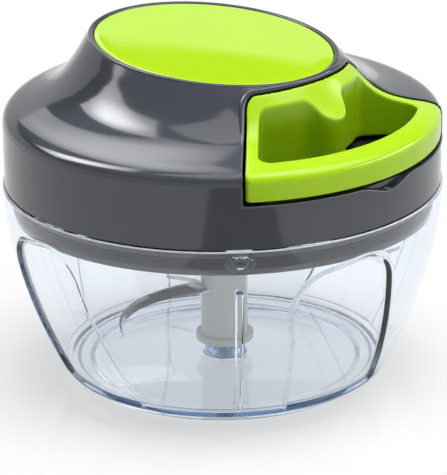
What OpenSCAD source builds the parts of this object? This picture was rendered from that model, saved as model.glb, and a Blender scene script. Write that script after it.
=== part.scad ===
// Pull-string food chopper: clear bowl, blade set, lid with cord reel and pull handle.
// Millimetres, +Z up, origin at the centre of the bowl's foot, handle pulls toward -Y.

/* [Bowl] */
// Height of the bowl to its rim
bowl_h = 60; // [56:1:66]
// Outer radius of the bowl at the rim
bowl_r = 65; // [60:0.1:70]
// Outer radius of the bowl wall just above the foot
bowl_low_r = 48.3; // [46:0.1:52]
// Outer radius of the foot ring
foot_r = 44.8; // [42:0.1:45.5]
// Thickness of the bowl wall
bowl_wall = 2; // [1.8:0.1:2.6]
// Height of the inside floor above the table
floor_z = 4.4; // [4:0.1:5]
// How strongly the wall bellies out
belly = 1.85; // [1.6:0.05:2.1]
// Width of each arched grip panel
panel_w = 33; // [28:0.5:35]
// Depth of each grip panel
panel_depth = 0.8; // [0.5:0.1:1]
// Turn of the grip panels about the bowl axis
panel_turn = -101; // [-120:0.5:-80]
// Lean of the grip panels
panel_lean = 10; // [0:1:14]
// Turn of the rim pip and the inner rib
pip_turn = -133; // [-140:0.5:-125]

/* [Lid] */
// Gap between the lid and the bowl rim
lid_gap = 0.3; // [0.25:0.05:0.5]
// How far the lid wall stands out past the bowl rim
lid_over = 0; // [0:0.1:0.8]
// Height of the straight lid wall
lid_wall_h = 18.6; // [17.5:0.1:20]
// Height from the lid wall's top to the middle of the oval rim
neck_h = 21.1; // [20:0.1:24]
// Half length of the oval rim along the pull
rim_b = 39.1; // [38.5:0.1:40]
// Half width of the oval rim across the pull
rim_a = 33.9; // [33.5:0.1:35.5]
// Shift of the oval rim away from the handle
rim_shift = 3.1; // [2.5:0.1:3.5]
// Fall of the oval top toward the handle, in degrees
rim_tilt = 4; // [3:0.1:5]
// Width of the dark rim round the top plate
rim_w = 1.6; // [1.2:0.1:2]
// Thickness of the lid shell
shell = 2.2; // [1.8:0.1:2.6]
// Depth of the skirt inside the bowl
skirt_h = 8; // [7:0.5:9]

/* [Handle] */
// Height of the handle's recess floor above the lid edge
recess_h = 12.4; // [12:0.1:13]
// Gap between the handle and its recess
handle_gap = 1; // [0.8:0.1:1.2]
// Gap under the handle
handle_lift = 1.2; // [0.8:0.1:1.5]
// Radius of the handle's inner end
handle_in = 37.3; // [37.2:0.1:38]
// Half width of the handle at its inner end
handle_in_w = 22; // [20:0.1:23]
// Half width of the handle at its outer edge
handle_out_w = 43.2; // [41:0.1:44]
// Width of the handle's outer bar, in front of the finger hole
handle_bar = 6.8; // [6:0.1:7.5]
// Width of the handle's two side bars
handle_side = 3.5; // [3:0.1:4.5]
// Radius of the handle's inner corners in plan
handle_corner = 3.5; // [2:0.5:5]

/* [Reel] */
// Radius of the drum core that the cord winds on
core_r = 18; // [17:0.5:18.5]
// Radius of the drum flanges
flange_r = 28.6; // [26:0.2:29]
// Diameter of the pull cord
cord_d = 2; // [1.6:0.1:2.2]
// Turns of cord on the drum
cord_turns = 3; // [2:1:3]
// Rise per turn of the wound cord
cord_pitch = 2.8; // [2.7:0.05:2.9]
// Turns of the flat recoil spring
spring_turns = 8; // [6:1:8]
// Thickness of the spring strip
spring_t = 0.3; // [0.2:0.05:0.4]

/* [Blades] */
// Radius of the blade shaft
shaft_r = 7; // [6.5:0.1:8]
// Width of the hexagonal drive head across its flats
hex_af = 9.8; // [9:0.1:10.2]
// Thickness of the blade steel
blade_t = 1; // [0.8:0.1:1.2]
// Width of a blade at its root
blade_w = 8; // [7:0.2:9]
// Height of the lowest blade
blade_z = 12; // [11:0.5:14]
// Rise from one blade to the next
blade_step = 13; // [11:0.5:14]
// Gap from a blade's tip to the bowl wall
blade_gap = 9.2; // [6:0.2:10]

/* [Hidden] */
$fn = 96;

// Overlap of joined shapes, running fit, press fit and length of a cut right through
eps = 0.01;
run = 0.05;
press = 0.02;
cut = 120;

// Heights of the lid, measured up from the bowl rim
base_t = 2.5;
lid_z = bowl_h + lid_gap;
plate_top = lid_z + base_t;
wall_top = lid_z + lid_wall_h;
rim_z = wall_top + neck_h;
recess_z = lid_z + recess_h;

// Bowl details
wall_low_z = 3;
foot_w = 5;
foot_hollow = 1.6;
foot_edge = 0.8;
foot_step = 0.4;
floor_round = 2.5;
rib_w = 1.8;
rib_h = 1.2;
rib_root = 0.4;
pip_w = 8.4;
pip_top_w = 6.8;
pip_flat = 0.56;
pip_root = 1.2;
pip_out = 0.9;
pip_drop = 3.4;
panel_top = 8;
panel_corner = 11;
panel_low = 1;
panel_foot = 0.5;
pin_boss_r = 6;
pin_boss_h = 3.4;
pin_seat_z = 2.4;

// Lid details
draft = 0.5;
lid_r = bowl_r + lid_over;
shoulder_r = lid_r - draft;
rim_edge = 0.4;
rim_round = 0.5;
plate_seat = 2;
plate_t = 2.3;
plate_fit = 0.15;
ledge_w = 2.4;
seam = 0.1;
step_in = 1.5;
skirt_gap = 1.1;
skirt_t = 2.2;
skirt_r = bowl_r - bowl_wall - skirt_gap;
gasket_up = 1.8;
gasket_h = 3;
gasket_deep = 1;
gasket_out = 0.25;
lip_out = 0.3;
lip_h = 1;
scoop_w = 12;
scoop_drop = 2.6;
scoop_deep = 1.7;
lip_w = 1.8;
lip_proud = 0.5;
lip_root = 0.8;
lip_reach = 9;

// Handle details
handle_set = 0.6;
handle_edge = 1.6;
handle_z = recess_z + handle_lift;
handle_out = lid_r - handle_set;
hole_corner = 3;
hole_in = handle_in + 2.9;
bump_r = 6.2;
bump_u = handle_in + 2.5;
bump_flare = 5;
stop_u = handle_in + 4.2;
stop_r = 1.9;
stop_tip_r = 1.2;
stop_back = 2.3;
stop_front = 1.5;
stop_tip = 0.8;
stop_pocket_r = 3.1;
stop_over = 4;
recess_in = handle_in - handle_gap;

// Heights of the reel, measured up from the lid base plate
hub_lift = 0.9;
hub_t = 2.4;
pawl_up = 2.6;
pawl_h = 2.8;
pawl_gap = 0.4;
flange_t = 1.5;
groove_h = 12.5;
spring_up = 7.5;
spring_h = 5.5;
frame_over = 4.5;
cord_down = 2.6;
hub_z0 = plate_top + hub_lift;
hub_floor = hub_z0 + hub_t;
pawl_z = hub_floor + pawl_up;
hub_top = pawl_z + pawl_h;
drum_z = hub_top + pawl_gap;
groove_z = drum_z + flange_t;
groove_top = groove_z + groove_h;
drum_top = groove_top + flange_t;
spring_z = groove_z + spring_up;
well_z = spring_z - 1;
frame_top = drum_top + frame_over;
cord_z = groove_top - cord_down;

// Radii of the reel
cord_lay = 0.2;
cord_r = core_r + cord_d / 2 + cord_lay;
cup_gap = 1.4;
cup_in = flange_r + cup_gap;
cup_out = cup_in + 2;
cup_roof = 2;
pin_r = 3;
boss_r = 5.5;
boss_low = 0.6;
well_r = core_r - 2;
clip_t = 1;
clip_deep = 0.7;
clip_mouth = 3.2;
clip_down = 1.3;
axle_tail = 2.6;
drum_slot_in = 6.6;
drum_slot_out = 8.5;
drum_slot_h = 1;
anchor_gap = 0.3;

// Frame details
frame_wall = 1.6;
frame_seam = 0.2;
recess_floor = 2;
screw_at = 36.5;
screw_boss_r = 3.4;
screw_boss_h = 6;
screw_lift = 0.2;
screw_web = 6;
screw_hole_r = 1.6;
screw_r = 1.4;
screw_core = 0.05;
screw_head_r = 2.8;
screw_head_h = 1.6;
screw_len = 7;
screw_slot_w = 0.7;
post_r = 2;
post_in = 7.1;
post_turn = 38;
eyelet_r = 2.8;
eyelet_back = 2.5;
eyelet_lip = 0.7;
eyelet_lip_t = 0.5;
eye_bore = cord_d / 2 + 0.6;
eye_well_r = 4.6;
eye_well = 3;

// Pawls and ratchet
pawl_at = 15;
pawl_r = 3.2;
pawl_tip_r = 1.4;
pawl_tip_out = 1.3;
pawl_len = 13;
pawl_side = 0.2;
pawl_pin_r = 1.5;
pawl_pin_in = 5;
pawl_pin_head_r = 2.6;
pawl_pin_head_h = 1.1;
pawl_pin_gap = 0.1;
tooth_in = 23;
tooth_out = 26;
tooth_count = 8;
tooth_turn = 17.5;

// Hub stem and its bush
stem_r = 8;
bush_r = 10.4;
bush_wall = 2.4;
bush_drop = 6;
bush_lip = 2;
bush_lip_t = 0.5;
hub_drop = 9.5;
hub_low = lid_z - hub_drop;
hub_clip_drop = 7.6;
hub_clip_deep = 0.8;
hub_clip_out = 2;
hub_clip_mouth = 6;
hex_fit = 0.2;
hex_over = 0.8;

// Shaft and pin
bpin_r = 2.5;
bpin_h = 12.6;
bpin_tip_r = 1.6;
bpin_tip_h = 1;
hex_r = hex_af / 2 / cos(30);
shaft_up = 4.4;
shaft_z0 = floor_z + shaft_up;
shaft_short = 0.9;
shaft_top = lid_z - shaft_short;
head_under = 5;
head_z = lid_z - skirt_h - head_under;
collar_out = 3;
collar_h = 2;
foot_collar_out = 1.6;
sbush_r = 4.5;
sbush_h = 10;
tang_in = 4.6;
tang_fit = 0.1;
sweep_angle = 34;
blade_turn = 30;

// Outer radius of the bowl wall at a height
function bowl_at(z) = bowl_r - (bowl_r - bowl_low_r)
    * pow(max(0, (bowl_h - z) / (bowl_h - wall_low_z)), belly);

// Shape of the shoulder and neck: share of the way out, share of the way up
neck = [[1, 0], [0.984, 0.08], [0.934, 0.148], [0.844, 0.2], [0.688, 0.252], [0.531, 0.322],
        [0.395, 0.422], [0.277, 0.557], [0.16, 0.73], [0.0625, 0.896], [0, 1]];

// Point of the lid shell at an angle, moved in by an inset and down by a drop
function rim_u(t, inset) = -rim_shift + (rim_b - inset) * cos(t);
function rim_w_at(t, inset) = (rim_a - inset) * sin(t);
function rim_up(t, inset) = rim_z - tan(rim_tilt) * (rim_b - inset) * cos(t);
function lid_pt(t, out, up, inset, drop) =
    let (a = atan2(rim_w_at(t, 0), rim_u(t, 0)),
         u = rim_u(t, inset) * (1 - out) + (shoulder_r - inset) * cos(a) * out,
         w = rim_w_at(t, inset) * (1 - out) + (shoulder_r - inset) * sin(a) * out,
         z = wall_top + (rim_up(t, inset) - wall_top) * up - drop)
    [w, -u, z];
function wall_pt(t, r, z) =
    let (a = atan2(rim_w_at(t, 0), rim_u(t, 0))) [r * sin(a), -r * cos(a), z];

// Places round the loft, the share of an inset that its neck drops, its rings and their faces
loft_n = 60;
drop_share = 0.6;
turns = [for (i = [0:loft_n - 1]) i * 360 / loft_n];
function neck_ring(k, inset) =
    [for (t = turns) lid_pt(t, neck[k][0], neck[k][1], inset, inset * drop_share)];
function loft_faces(rows, rings) = [for (j = [0:rows - 1]) for (i = [0:loft_n - 1]) for (h = [0, 1])
    let (e = ((j + 1) % rings) * loft_n, k = (i + 1) % loft_n, a = j * loft_n + i, b = j * loft_n + k)
    h == 0 ? [a, e + i, e + k] : [a, e + k, b]];

// Lid surface in the handle's sector, as radius and height
front_r = rim_b - rim_shift;
front_z = rim_up(0, 0);
function front_pt(k, drop) = [front_r + (shoulder_r - front_r) * neck[k][0],
                              wall_top + (front_z - wall_top) * neck[k][1] - drop];

// Path of the cord from the drum to the handle, along +u with w to the side
bend_u = cup_out + 0.2;
lead_a = acos(cord_r / bend_u);
bend_r = 4;
bend_half = (90 - lead_a) / 2;
bend_c = [bend_u + bend_r * tan(bend_half), bend_r];
wound = cord_turns * 24;
function wind_pt(i) = let (a = lead_a + i * 15)
    [cord_r * cos(a), cord_r * sin(a), cord_z - cord_pitch * i / 24];
hook_r = 2.2;
hook_a = lead_a + wound * 15;
cord_low = cord_z - cord_pitch * cord_turns;
function hook_pt(r, s) = [r * cos(hook_a) - s * sin(hook_a), r * sin(hook_a) + s * cos(hook_a), cord_low];
hook = [for (b = [22.5:22.5:90]) hook_pt(cord_r - hook_r * (1 - cos(b)), hook_r * sin(b))];
hook_end = hook_pt(cord_r - hook_r - cord_d, hook_r);
lead = [for (j = [0:4]) let (b = j * bend_half / 2)
    [bend_c[0] - bend_r * sin(b), bend_c[1] - bend_r * cos(b), cord_z]];
loops = [for (i = [0:wound]) wind_pt(i)];
cord_path = concat([[stop_u - stop_back - run, 0, cord_z]], lead, loops, hook, [hook_end]);

// Least gap between loops of the wound cord
loop_gap = min([for (i = [0:3:wound]) for (j = [i + 12:1:wound]) norm(loops[i] - loops[j])]) - cord_d;
echo(str("least gap between cord loops ", loop_gap));

// Path of the flat spring from its post to the drum wall
spring_play = 0.9;
spring_in = boss_r + spring_play;
spring_out = well_r - spring_play;
spring_pitch = (spring_out - spring_in) / spring_turns;
spring_path = concat([[boss_r, 0]],
    [for (i = [0:spring_turns * 24]) let (r = spring_in + spring_pitch * i / 24)
        [r * cos(i * 15), r * sin(i * 15)]],
    [[well_r, 0]]);
echo(str("least gap between spring turns ", spring_pitch - spring_t));

// Unit vectors along a path, and the outline of a strip laid on it
function unit(v) = v / norm(v);
function along(p, i) = unit(p[min(i + 1, len(p) - 1)] - p[max(i - 1, 0)]);
function strip(p, t) = concat(
    [for (i = [0:len(p) - 1]) let (d = along(p, i)) p[i] + [-d[1], d[0]] * t / 2],
    [for (i = [len(p) - 1:-1:0]) let (d = along(p, i)) p[i] - [-d[1], d[0]] * t / 2]);

// Round tube of six sides along a path that never stands upright
module tube(p, d) {
    n = len(p);
    pts = [for (i = [0:n - 1]) let (f = along(p, i), s = unit(cross(f, [0, 0, 1])), u = cross(s, f))
        for (k = [0:5]) p[i] + d / 2 * (cos(k * 60) * s + sin(k * 60) * u)];
    sides = [for (i = [0:n - 2]) for (k = [0:5]) for (h = [0, 1])
        let (a = i * 6 + k, b = i * 6 + (k + 1) % 6) h == 0 ? [a, b, b + 6] : [a, b + 6, a + 6]];
    polyhedron(pts, concat(sides, [[5, 4, 3, 2, 1, 0]], [[for (k = [0:5]) (n - 1) * 6 + k]]));
}

// Flat ring
module ring(r_out, r_in, h) {
    difference() {
        cylinder(r = r_out, h = h);
        translate([0, 0, -h]) cylinder(r = r_in, h = 3 * h);
    }
}

// Turn a shape drawn along +X so that it faces the pull
module toward_pull() { rotate(-90) children(); }

// Four places of the frame screws
module at_screws() { for (k = [0:3]) rotate(45 + 90 * k) translate([screw_at, 0, 0]) children(); }

// Outline of the handle's sector, moved out by a margin, with round inner corners
module sector(r_in, r_out, margin, corner) {
    x_in = sqrt(handle_in * handle_in - handle_in_w * handle_in_w);
    x_out = sqrt(lid_r * lid_r - handle_out_w * handle_out_w);
    slope = (handle_out_w - handle_in_w) / (x_out - x_in);
    y_at = handle_in_w - slope * x_in + margin * sqrt(1 + slope * slope);
    near = x_in * 0.6;
    intersection() {
        circle(r_out);
        offset(r = corner) offset(delta = -corner) difference() {
            polygon([[near, -(y_at + slope * near)], [near, y_at + slope * near],
                     [cut, y_at + slope * cut], [cut, -(y_at + slope * cut)]]);
            circle(r_in);
        }
    }
}

// Finger hole with two lobes and the cord's bump between them
module finger_hole() {
    offset(r = hole_corner) offset(delta = -hole_corner) difference() {
        sector(handle_in, handle_out - handle_bar, -handle_side, hole_corner);
        offset(r = -bump_flare) offset(delta = bump_flare) union() {
            circle(hole_in);
            translate([bump_u, 0]) circle(bump_r);
        }
    }
}

// Bell-shaped dip in the lid wall below the handle
module scoop() {
    steps = 10;
    dip = [for (i = [-steps:steps]) [scoop_w * i / steps, -scoop_drop * (1 + cos(180 * i / steps)) / 2]];
    polygon(concat(dip, [[scoop_w, scoop_drop], [-scoop_w, scoop_drop]]));
}

// Solid under the lid surface, grown outward or shrunk
module lid_solid(grow, z0) {
    m = len(neck);
    rings = concat([[for (t = turns) wall_pt(t, shoulder_r + grow, z0)]],
        [for (k = [0:m - 1]) neck_ring(k, -grow)]);
    caps = [[for (i = [0:loft_n - 1]) i], [for (i = [loft_n - 1:-1:0]) m * loft_n + i]];
    polyhedron([for (r = rings) for (q = r) q], concat(loft_faces(m, m + 1), caps));
}

// Raised lip round the inner corners of the handle's notch, on the lid surface
module notch_lip() {
    corner = handle_corner + handle_gap;
    intersection() {
        difference() {
            lid_solid(lip_proud, recess_z);
            lid_solid(-lip_root, recess_z - recess_floor);
        }
        toward_pull() translate([0, 0, recess_z + recess_floor]) linear_extrude(cut) difference() {
            sector(handle_in, handle_in + lip_reach, handle_gap + lip_w, corner + lip_w);
            sector(recess_in, lid_r, handle_gap - eps, corner);
        }
    }
}

// Solid under the lid surface in the handle's sector
module front_solid(drop, z0) {
    rotate_extrude() polygon(concat(
        [[pin_r, z0], [shoulder_r, z0]],
        [for (k = [0:len(neck) - 1]) front_pt(k, drop)],
        [[pin_r, front_z - drop]]));
}

// Outline of a grip panel, leaning about its middle, open below the foot
module arch() {
    top = bowl_h - panel_top;
    translate([0, top / 2]) rotate(panel_lean) {
        translate([-panel_w / 2, -top]) square([panel_w, top * 1.5 - panel_corner]);
        translate([panel_corner - panel_w / 2, 0]) square([panel_w - 2 * panel_corner, top / 2]);
        for (s = [-1, 1])
            translate([s * (panel_w / 2 - panel_corner), top / 2 - panel_corner]) circle(panel_corner);
    }
}

// Clear bowl with foot ring, grip panels, inner ribs and the blade pin's boss
module bowl() {
    steps = 14;
    hs = [for (i = [0:steps]) wall_low_z + (bowl_h - wall_low_z) * i / steps];
    floor_r = bowl_at(floor_z) - bowl_wall;
    rib_hs = concat([floor_z], [for (i = [1:11]) hs[i]]);
    color([0.85, 0.9, 0.95, 0.35]) difference() {
        union() {
            rotate_extrude() polygon(concat(
                [[0, foot_hollow], [foot_r - foot_w, foot_hollow], [foot_r - foot_w + foot_edge, 0],
                 [foot_r - foot_edge, 0], [foot_r, foot_edge], [foot_r, wall_low_z - foot_step],
                 [bowl_low_r - foot_edge, wall_low_z - foot_step]],
                [for (z = hs) [bowl_at(z), z]],
                [for (i = [steps:-1:1]) [bowl_at(hs[i]) - bowl_wall, hs[i]]],
                [[floor_r - floor_round * 0.6, floor_z + floor_round * 0.24],
                 [floor_r - floor_round, floor_z], [0, floor_z]]));
            translate([0, 0, floor_z - eps]) cylinder(r = pin_boss_r, h = pin_boss_h);
            for (a = [pip_turn, pip_turn + 180]) rotate(a) {
                intersection() {
                    rotate_extrude() polygon(concat(
                        [for (i = [0:11]) [bowl_at(rib_hs[i]) - bowl_wall + rib_root, rib_hs[i]]],
                        [for (i = [11:-1:0]) [bowl_at(rib_hs[i]) - bowl_wall - rib_h, rib_hs[i]]]));
                    translate([0, -rib_w / 2, 0]) cube([cut, rib_w, bowl_h]);
                }
                translate([bowl_r - pip_root, 0, bowl_h - pip_drop]) rotate([0, 90, 0])
                    scale([pip_flat, 1, 1])
                    cylinder(r1 = pip_w / 2, r2 = pip_top_w / 2, h = pip_root + pip_out);
            }
        }
        for (k = [0:3]) rotate(panel_turn + 90 * k) intersection() {
            rotate_extrude() polygon(concat(
                [[bowl_low_r - panel_depth - panel_foot, wall_low_z + panel_low],
                 [bowl_at(hs[1]) + panel_depth * 2, wall_low_z + panel_low]],
                [for (i = [1:13]) [bowl_at(hs[i]) + panel_depth * 2, hs[i]]],
                [for (i = [13:-1:1]) [bowl_at(hs[i]) - panel_depth, hs[i]]]));
            rotate([90, 0, 90]) linear_extrude(cut) arch();
        }
        translate([0, 0, pin_seat_z]) cylinder(r = bpin_r, h = cut);
    }
}

// Steel pin that the blade shaft turns on
module bowl_pin() {
    color([0.75, 0.76, 0.78]) translate([0, 0, pin_seat_z]) {
        cylinder(r = bpin_r, h = bpin_h);
        translate([0, 0, bpin_h - eps]) cylinder(r1 = bpin_r, r2 = bpin_tip_r, h = bpin_tip_h + eps);
    }
}

// Lid base plate with the skirt that goes into the bowl and the hub's bearing boss
module lid_base() {
    color([0.24, 0.25, 0.27]) difference() {
        union() {
            translate([0, 0, lid_z]) cylinder(r = shoulder_r - shell, h = base_t);
            translate([0, 0, lid_z - skirt_h]) difference() {
                ring(skirt_r, skirt_r - skirt_t, skirt_h + eps);
                translate([0, 0, gasket_up]) ring(skirt_r + gasket_deep, skirt_r - gasket_deep, gasket_h);
            }
            translate([0, 0, lid_z - bush_drop]) cylinder(r = bush_r + bush_wall, h = bush_drop + eps);
        }
        translate([0, 0, lid_z - cut / 2]) cylinder(r = bush_r, h = cut);
        at_screws() translate([0, 0, lid_z - base_t]) cylinder(r = screw_hole_r, h = 3 * base_t);
    }
}

// Silicone ring in the skirt's groove
module lid_gasket() {
    color([0.5, 0.52, 0.54]) translate([0, 0, lid_z - skirt_h + gasket_up]) difference() {
        union() {
            cylinder(r = skirt_r + gasket_out, h = gasket_h);
            translate([0, 0, lip_h]) cylinder(r = skirt_r + gasket_out + lip_out, h = lip_h);
        }
        translate([0, 0, -lip_h]) cylinder(r = skirt_r - gasket_deep, h = gasket_h + 2 * lip_h);
    }
}

// Lid shell lofted from the round wall to the oval rim, open where the handle sits
module top_cover() {
    m = len(neck);
    foot = lid_r - shell - seam;
    in_r = foot - step_in;
    seat = rim_w + ledge_w;
    rings = concat(
        [[for (t = turns) wall_pt(t, foot, lid_z)], [for (t = turns) wall_pt(t, lid_r, lid_z)]],
        [for (k = [0:m - 1]) neck_ring(k, 0)],
        [[for (t = turns) lid_pt(t, 0, 1, rim_round, -rim_edge)],
         [for (t = turns) lid_pt(t, 0, 1, rim_w, -rim_edge)],
         [for (t = turns) lid_pt(t, 0, 1, rim_w, plate_seat)],
         [for (t = turns) lid_pt(t, 0, 1, seat, plate_seat)],
         [for (t = turns) lid_pt(t, 0, 1, seat, 2 * plate_seat)]],
        [for (k = [m - 2:-1:1]) neck_ring(k, shell)],
        [[for (t = turns) wall_pt(t, in_r, wall_top - shell)],
         [for (t = turns) wall_pt(t, in_r, plate_top)],
         [for (t = turns) wall_pt(t, foot, plate_top)]]);
    nr = len(rings);
    color([0.27, 0.28, 0.3]) difference() {
        union() {
            polyhedron([for (r = rings) for (q = r) q], loft_faces(nr, nr));
            notch_lip();
        }
        toward_pull() translate([0, 0, recess_z]) linear_extrude(cut)
            sector(recess_in, lid_r + cut / 4, handle_gap, handle_corner + handle_gap);
        toward_pull() translate([lid_r - scoop_deep, 0, recess_z]) rotate([90, 0, 90])
            linear_extrude(2 * scoop_deep) scoop();
    }
}

// Oval top plate let into the rim
module top_plate() {
    a = rim_a - rim_w - plate_fit;
    b = rim_b - rim_w - plate_fit;
    lean = [[1, 0, 0, 0], [0, 1, 0, rim_shift], [0, tan(rim_tilt), 1, 0], [0, 0, 0, 1]];
    color([0.64, 0.86, 0.1]) multmatrix(lean) translate([0, 0, rim_z - plate_seat])
        linear_extrude(plate_t) polygon([for (t = [0:5:355]) [a * sin(t), -b * cos(t)]]);
}

// Inner frame: reel cup with the axle's boss, and the floor and walls of the handle's recess
module reel_frame() {
    edge_r = lid_r - 2 * shell;
    margin = handle_gap + frame_seam;
    corner = handle_corner + handle_gap;
    web = screw_at - cup_in;
    color([0.13, 0.13, 0.14]) difference() {
        union() {
            difference() {
                union() {
                    translate([0, 0, plate_top]) cylinder(r = cup_out, h = frame_top - plate_top);
                    at_screws() translate([0, 0, plate_top + screw_lift]) {
                        cylinder(r = screw_boss_r, h = screw_boss_h);
                        translate([boss_low - web, -screw_web / 2, screw_lift])
                            cube([web, screw_web, screw_boss_h - 3 * screw_lift]);
                    }
                    toward_pull() intersection() {
                        translate([0, 0, recess_z - recess_floor]) linear_extrude(cut)
                            sector(recess_in - frame_wall, edge_r, margin + frame_wall, corner + frame_wall);
                        front_solid(shell + 2 * frame_wall, recess_z - 5 * recess_floor);
                    }
                    toward_pull()
                        translate([cup_in + boss_low, -boss_r, recess_z - recess_floor - frame_seam])
                        cube([recess_in - cup_in, 2 * boss_r, recess_floor]);
                }
                translate([0, 0, plate_top - cup_roof / 2])
                    cylinder(r = cup_in, h = frame_top - plate_top - cup_roof / 2);
                toward_pull() translate([0, 0, recess_z]) linear_extrude(cut)
                    sector(recess_in, lid_r, margin, corner);
            }
            translate([0, 0, spring_z - boss_low]) cylinder(r = boss_r, h = frame_top - spring_z - boss_low);
            toward_pull() for (s = [-1, 1]) rotate(s * post_turn)
                translate([lid_r - post_in, 0, recess_z - recess_floor / 4])
                    cylinder(r = post_r, h = handle_lift + frame_seam);
        }
        toward_pull() translate([cup_in - eye_well, 0, cord_z]) rotate([0, 90, 0])
            cylinder(r = eye_well_r, h = cup_out - cup_in + eye_well + boss_low);
        toward_pull() translate([cup_in, 0, cord_z]) rotate([0, 90, 0])
            cylinder(r = eyelet_r, h = recess_in - cup_in + eye_well);
        at_screws() translate([0, 0, plate_top - screw_boss_h / 6])
            cylinder(r = screw_r + screw_core, h = screw_boss_h);
        translate([0, 0, spring_z - cup_roof]) cylinder(r = pin_r, h = cut);
    }
}

// Four screws that hold the inner frame to the lid base
module frame_screws() {
    color([0.7, 0.7, 0.72]) at_screws() translate([0, 0, lid_z - screw_head_h]) difference() {
        union() {
            cylinder(r = screw_head_r, h = screw_head_h);
            translate([0, 0, screw_head_h - eps]) cylinder(r = screw_r, h = screw_len + eps);
        }
        for (a = [0, 90]) rotate(a) translate([-screw_head_r * 0.6, -screw_slot_w / 2, -screw_slot_w])
            cube([screw_head_r * 1.2, screw_slot_w, screw_slot_w + screw_head_h / 2]);
    }
}

// Smooth metal eyelet that guides the cord
module cord_eyelet() {
    color([0.78, 0.78, 0.8])
    toward_pull() translate([recess_in, 0, cord_z]) rotate([0, 90, 0]) difference() {
        union() {
            translate([0, 0, -eyelet_back]) cylinder(r = eyelet_r - press, h = eyelet_back + eps);
            cylinder(r = eyelet_r + eyelet_lip, h = eyelet_lip_t);
        }
        translate([0, 0, -2 * eyelet_back]) cylinder(r = eye_bore, h = 4 * eyelet_back);
    }
}

// Steel axle of the drum, fixed in the frame
module axle_pin() {
    color([0.75, 0.76, 0.78]) difference() {
        translate([0, 0, drum_z - axle_tail]) cylinder(r = pin_r, h = frame_top - drum_z + axle_tail);
        translate([0, 0, drum_z - clip_down]) ring(pin_r + clip_deep, pin_r - clip_deep, clip_t);
    }
}

// Open spring clip that snaps into a groove
module snap_clip(r_out, r_in, mouth) {
    linear_extrude(clip_t) difference() {
        circle(r_out);
        circle(r_in + run);
        translate([0, -mouth / 2]) square([2 * r_out, mouth]);
    }
}

// Spring clip that keeps the drum on its axle
module axle_clip() {
    color([0.6, 0.61, 0.63]) translate([0, 0, drum_z - clip_down])
        snap_clip(boss_r, pin_r - clip_deep, clip_mouth);
}

// Plain bush that the drive hub turns in
module hub_bush() {
    color([0.85, 0.84, 0.8]) rotate_extrude() polygon([
        [stem_r + run, lid_z - bush_drop], [bush_r, lid_z - bush_drop], [bush_r, plate_top],
        [bush_r + bush_lip, plate_top], [bush_r + bush_lip, plate_top + bush_lip_t],
        [stem_r + run, plate_top + bush_lip_t]]);
}

// Pull handle with its finger hole, its top flush with the lid
module pull_handle() {
    color([0.62, 0.84, 0.08]) difference() {
        intersection() {
            toward_pull() translate([0, 0, handle_z]) linear_extrude(cut)
                offset(r = handle_edge) offset(delta = -handle_edge)
                sector(handle_in, handle_out, 0, handle_corner);
            lid_solid(0, handle_z - recess_floor);
        }
        toward_pull() translate([0, 0, handle_z - recess_floor]) linear_extrude(cut) finger_hole();
        toward_pull() translate([handle_in - handle_bar, 0, cord_z]) rotate([0, 90, 0])
            cylinder(r = eye_bore, h = stop_u - handle_in + handle_bar);
        toward_pull() translate([stop_u, 0, handle_z - recess_floor])
            cylinder(r = stop_pocket_r, h = cord_z - handle_z + recess_floor + stop_over - eye_bore / 2);
    }
}

// Crimped stop at the cord's end, held in the handle
module cord_stop() {
    color([0.7, 0.7, 0.72]) toward_pull() translate([stop_u, 0, cord_z]) rotate([0, 90, 0]) {
        translate([0, 0, -stop_back]) cylinder(r = stop_r, h = stop_back + stop_front);
        translate([0, 0, stop_front - eps]) cylinder(r1 = stop_r, r2 = stop_tip_r, h = stop_tip);
    }
}

// Pull cord: lead from the handle through the eyelet, then the turns on the drum
module pull_cord() {
    color([0.93, 0.93, 0.9]) toward_pull() tube(cord_path, cord_d);
}

// Flat recoil spring in the drum's well
module recoil_spring() {
    color([0.5, 0.52, 0.55]) translate([0, 0, spring_z]) linear_extrude(spring_h)
        polygon(strip(spring_path, spring_t));
}

// Cord drum with two flanges and a well for the spring
module cord_drum() {
    color([0.9, 0.9, 0.88]) difference() {
        rotate_extrude() polygon([
            [pin_r + run, drum_z], [flange_r, drum_z], [flange_r, groove_z], [core_r, groove_z],
            [core_r, groove_top], [flange_r, groove_top], [flange_r, drum_top], [well_r, drum_top],
            [well_r, well_z], [pin_r + run, well_z]]);
        for (a = [0, 180]) rotate(a) translate([pawl_at, 0, drum_z - pawl_pin_in / 5])
            cylinder(r = pawl_pin_r, h = pawl_pin_in * 1.2);
        toward_pull() translate(hook_end) rotate([0, 90, hook_a]) translate([0, 0, -hook_r / 2])
            cylinder(r = cord_d / 2 + anchor_gap, h = 4 * cord_d);
        translate([0, 0, drum_z - drum_slot_h]) ring(drum_slot_out, drum_slot_in, 2 * drum_slot_h);
    }
}

// Two steel pins that carry the pawls
module pawl_pins() {
    color([0.75, 0.76, 0.78]) for (a = [0, 180]) rotate(a) translate([pawl_at, 0, pawl_z - pawl_pin_gap]) {
        cylinder(r = pawl_pin_r, h = drum_z + pawl_pin_in - pawl_z + pawl_pin_gap);
        translate([0, 0, -pawl_pin_head_h]) cylinder(r = pawl_pin_head_r, h = pawl_pin_head_h);
    }
}

// Drive pawl drawn at the drum's +X side
module pawl() {
    translate([0, 0, pawl_z + pawl_side]) linear_extrude(pawl_h - pawl_side) difference() {
        hull() {
            translate([pawl_at, 0]) circle(pawl_r);
            translate([pawl_at + pawl_tip_out, pawl_len]) circle(pawl_tip_r);
        }
        translate([pawl_at, 0]) circle(pawl_pin_r + run);
    }
}

// First drive pawl
module pawl_a() { color([0.6, 0.61, 0.63]) pawl(); }

// Second drive pawl
module pawl_b() { color([0.6, 0.61, 0.63]) rotate(180) pawl(); }

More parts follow.
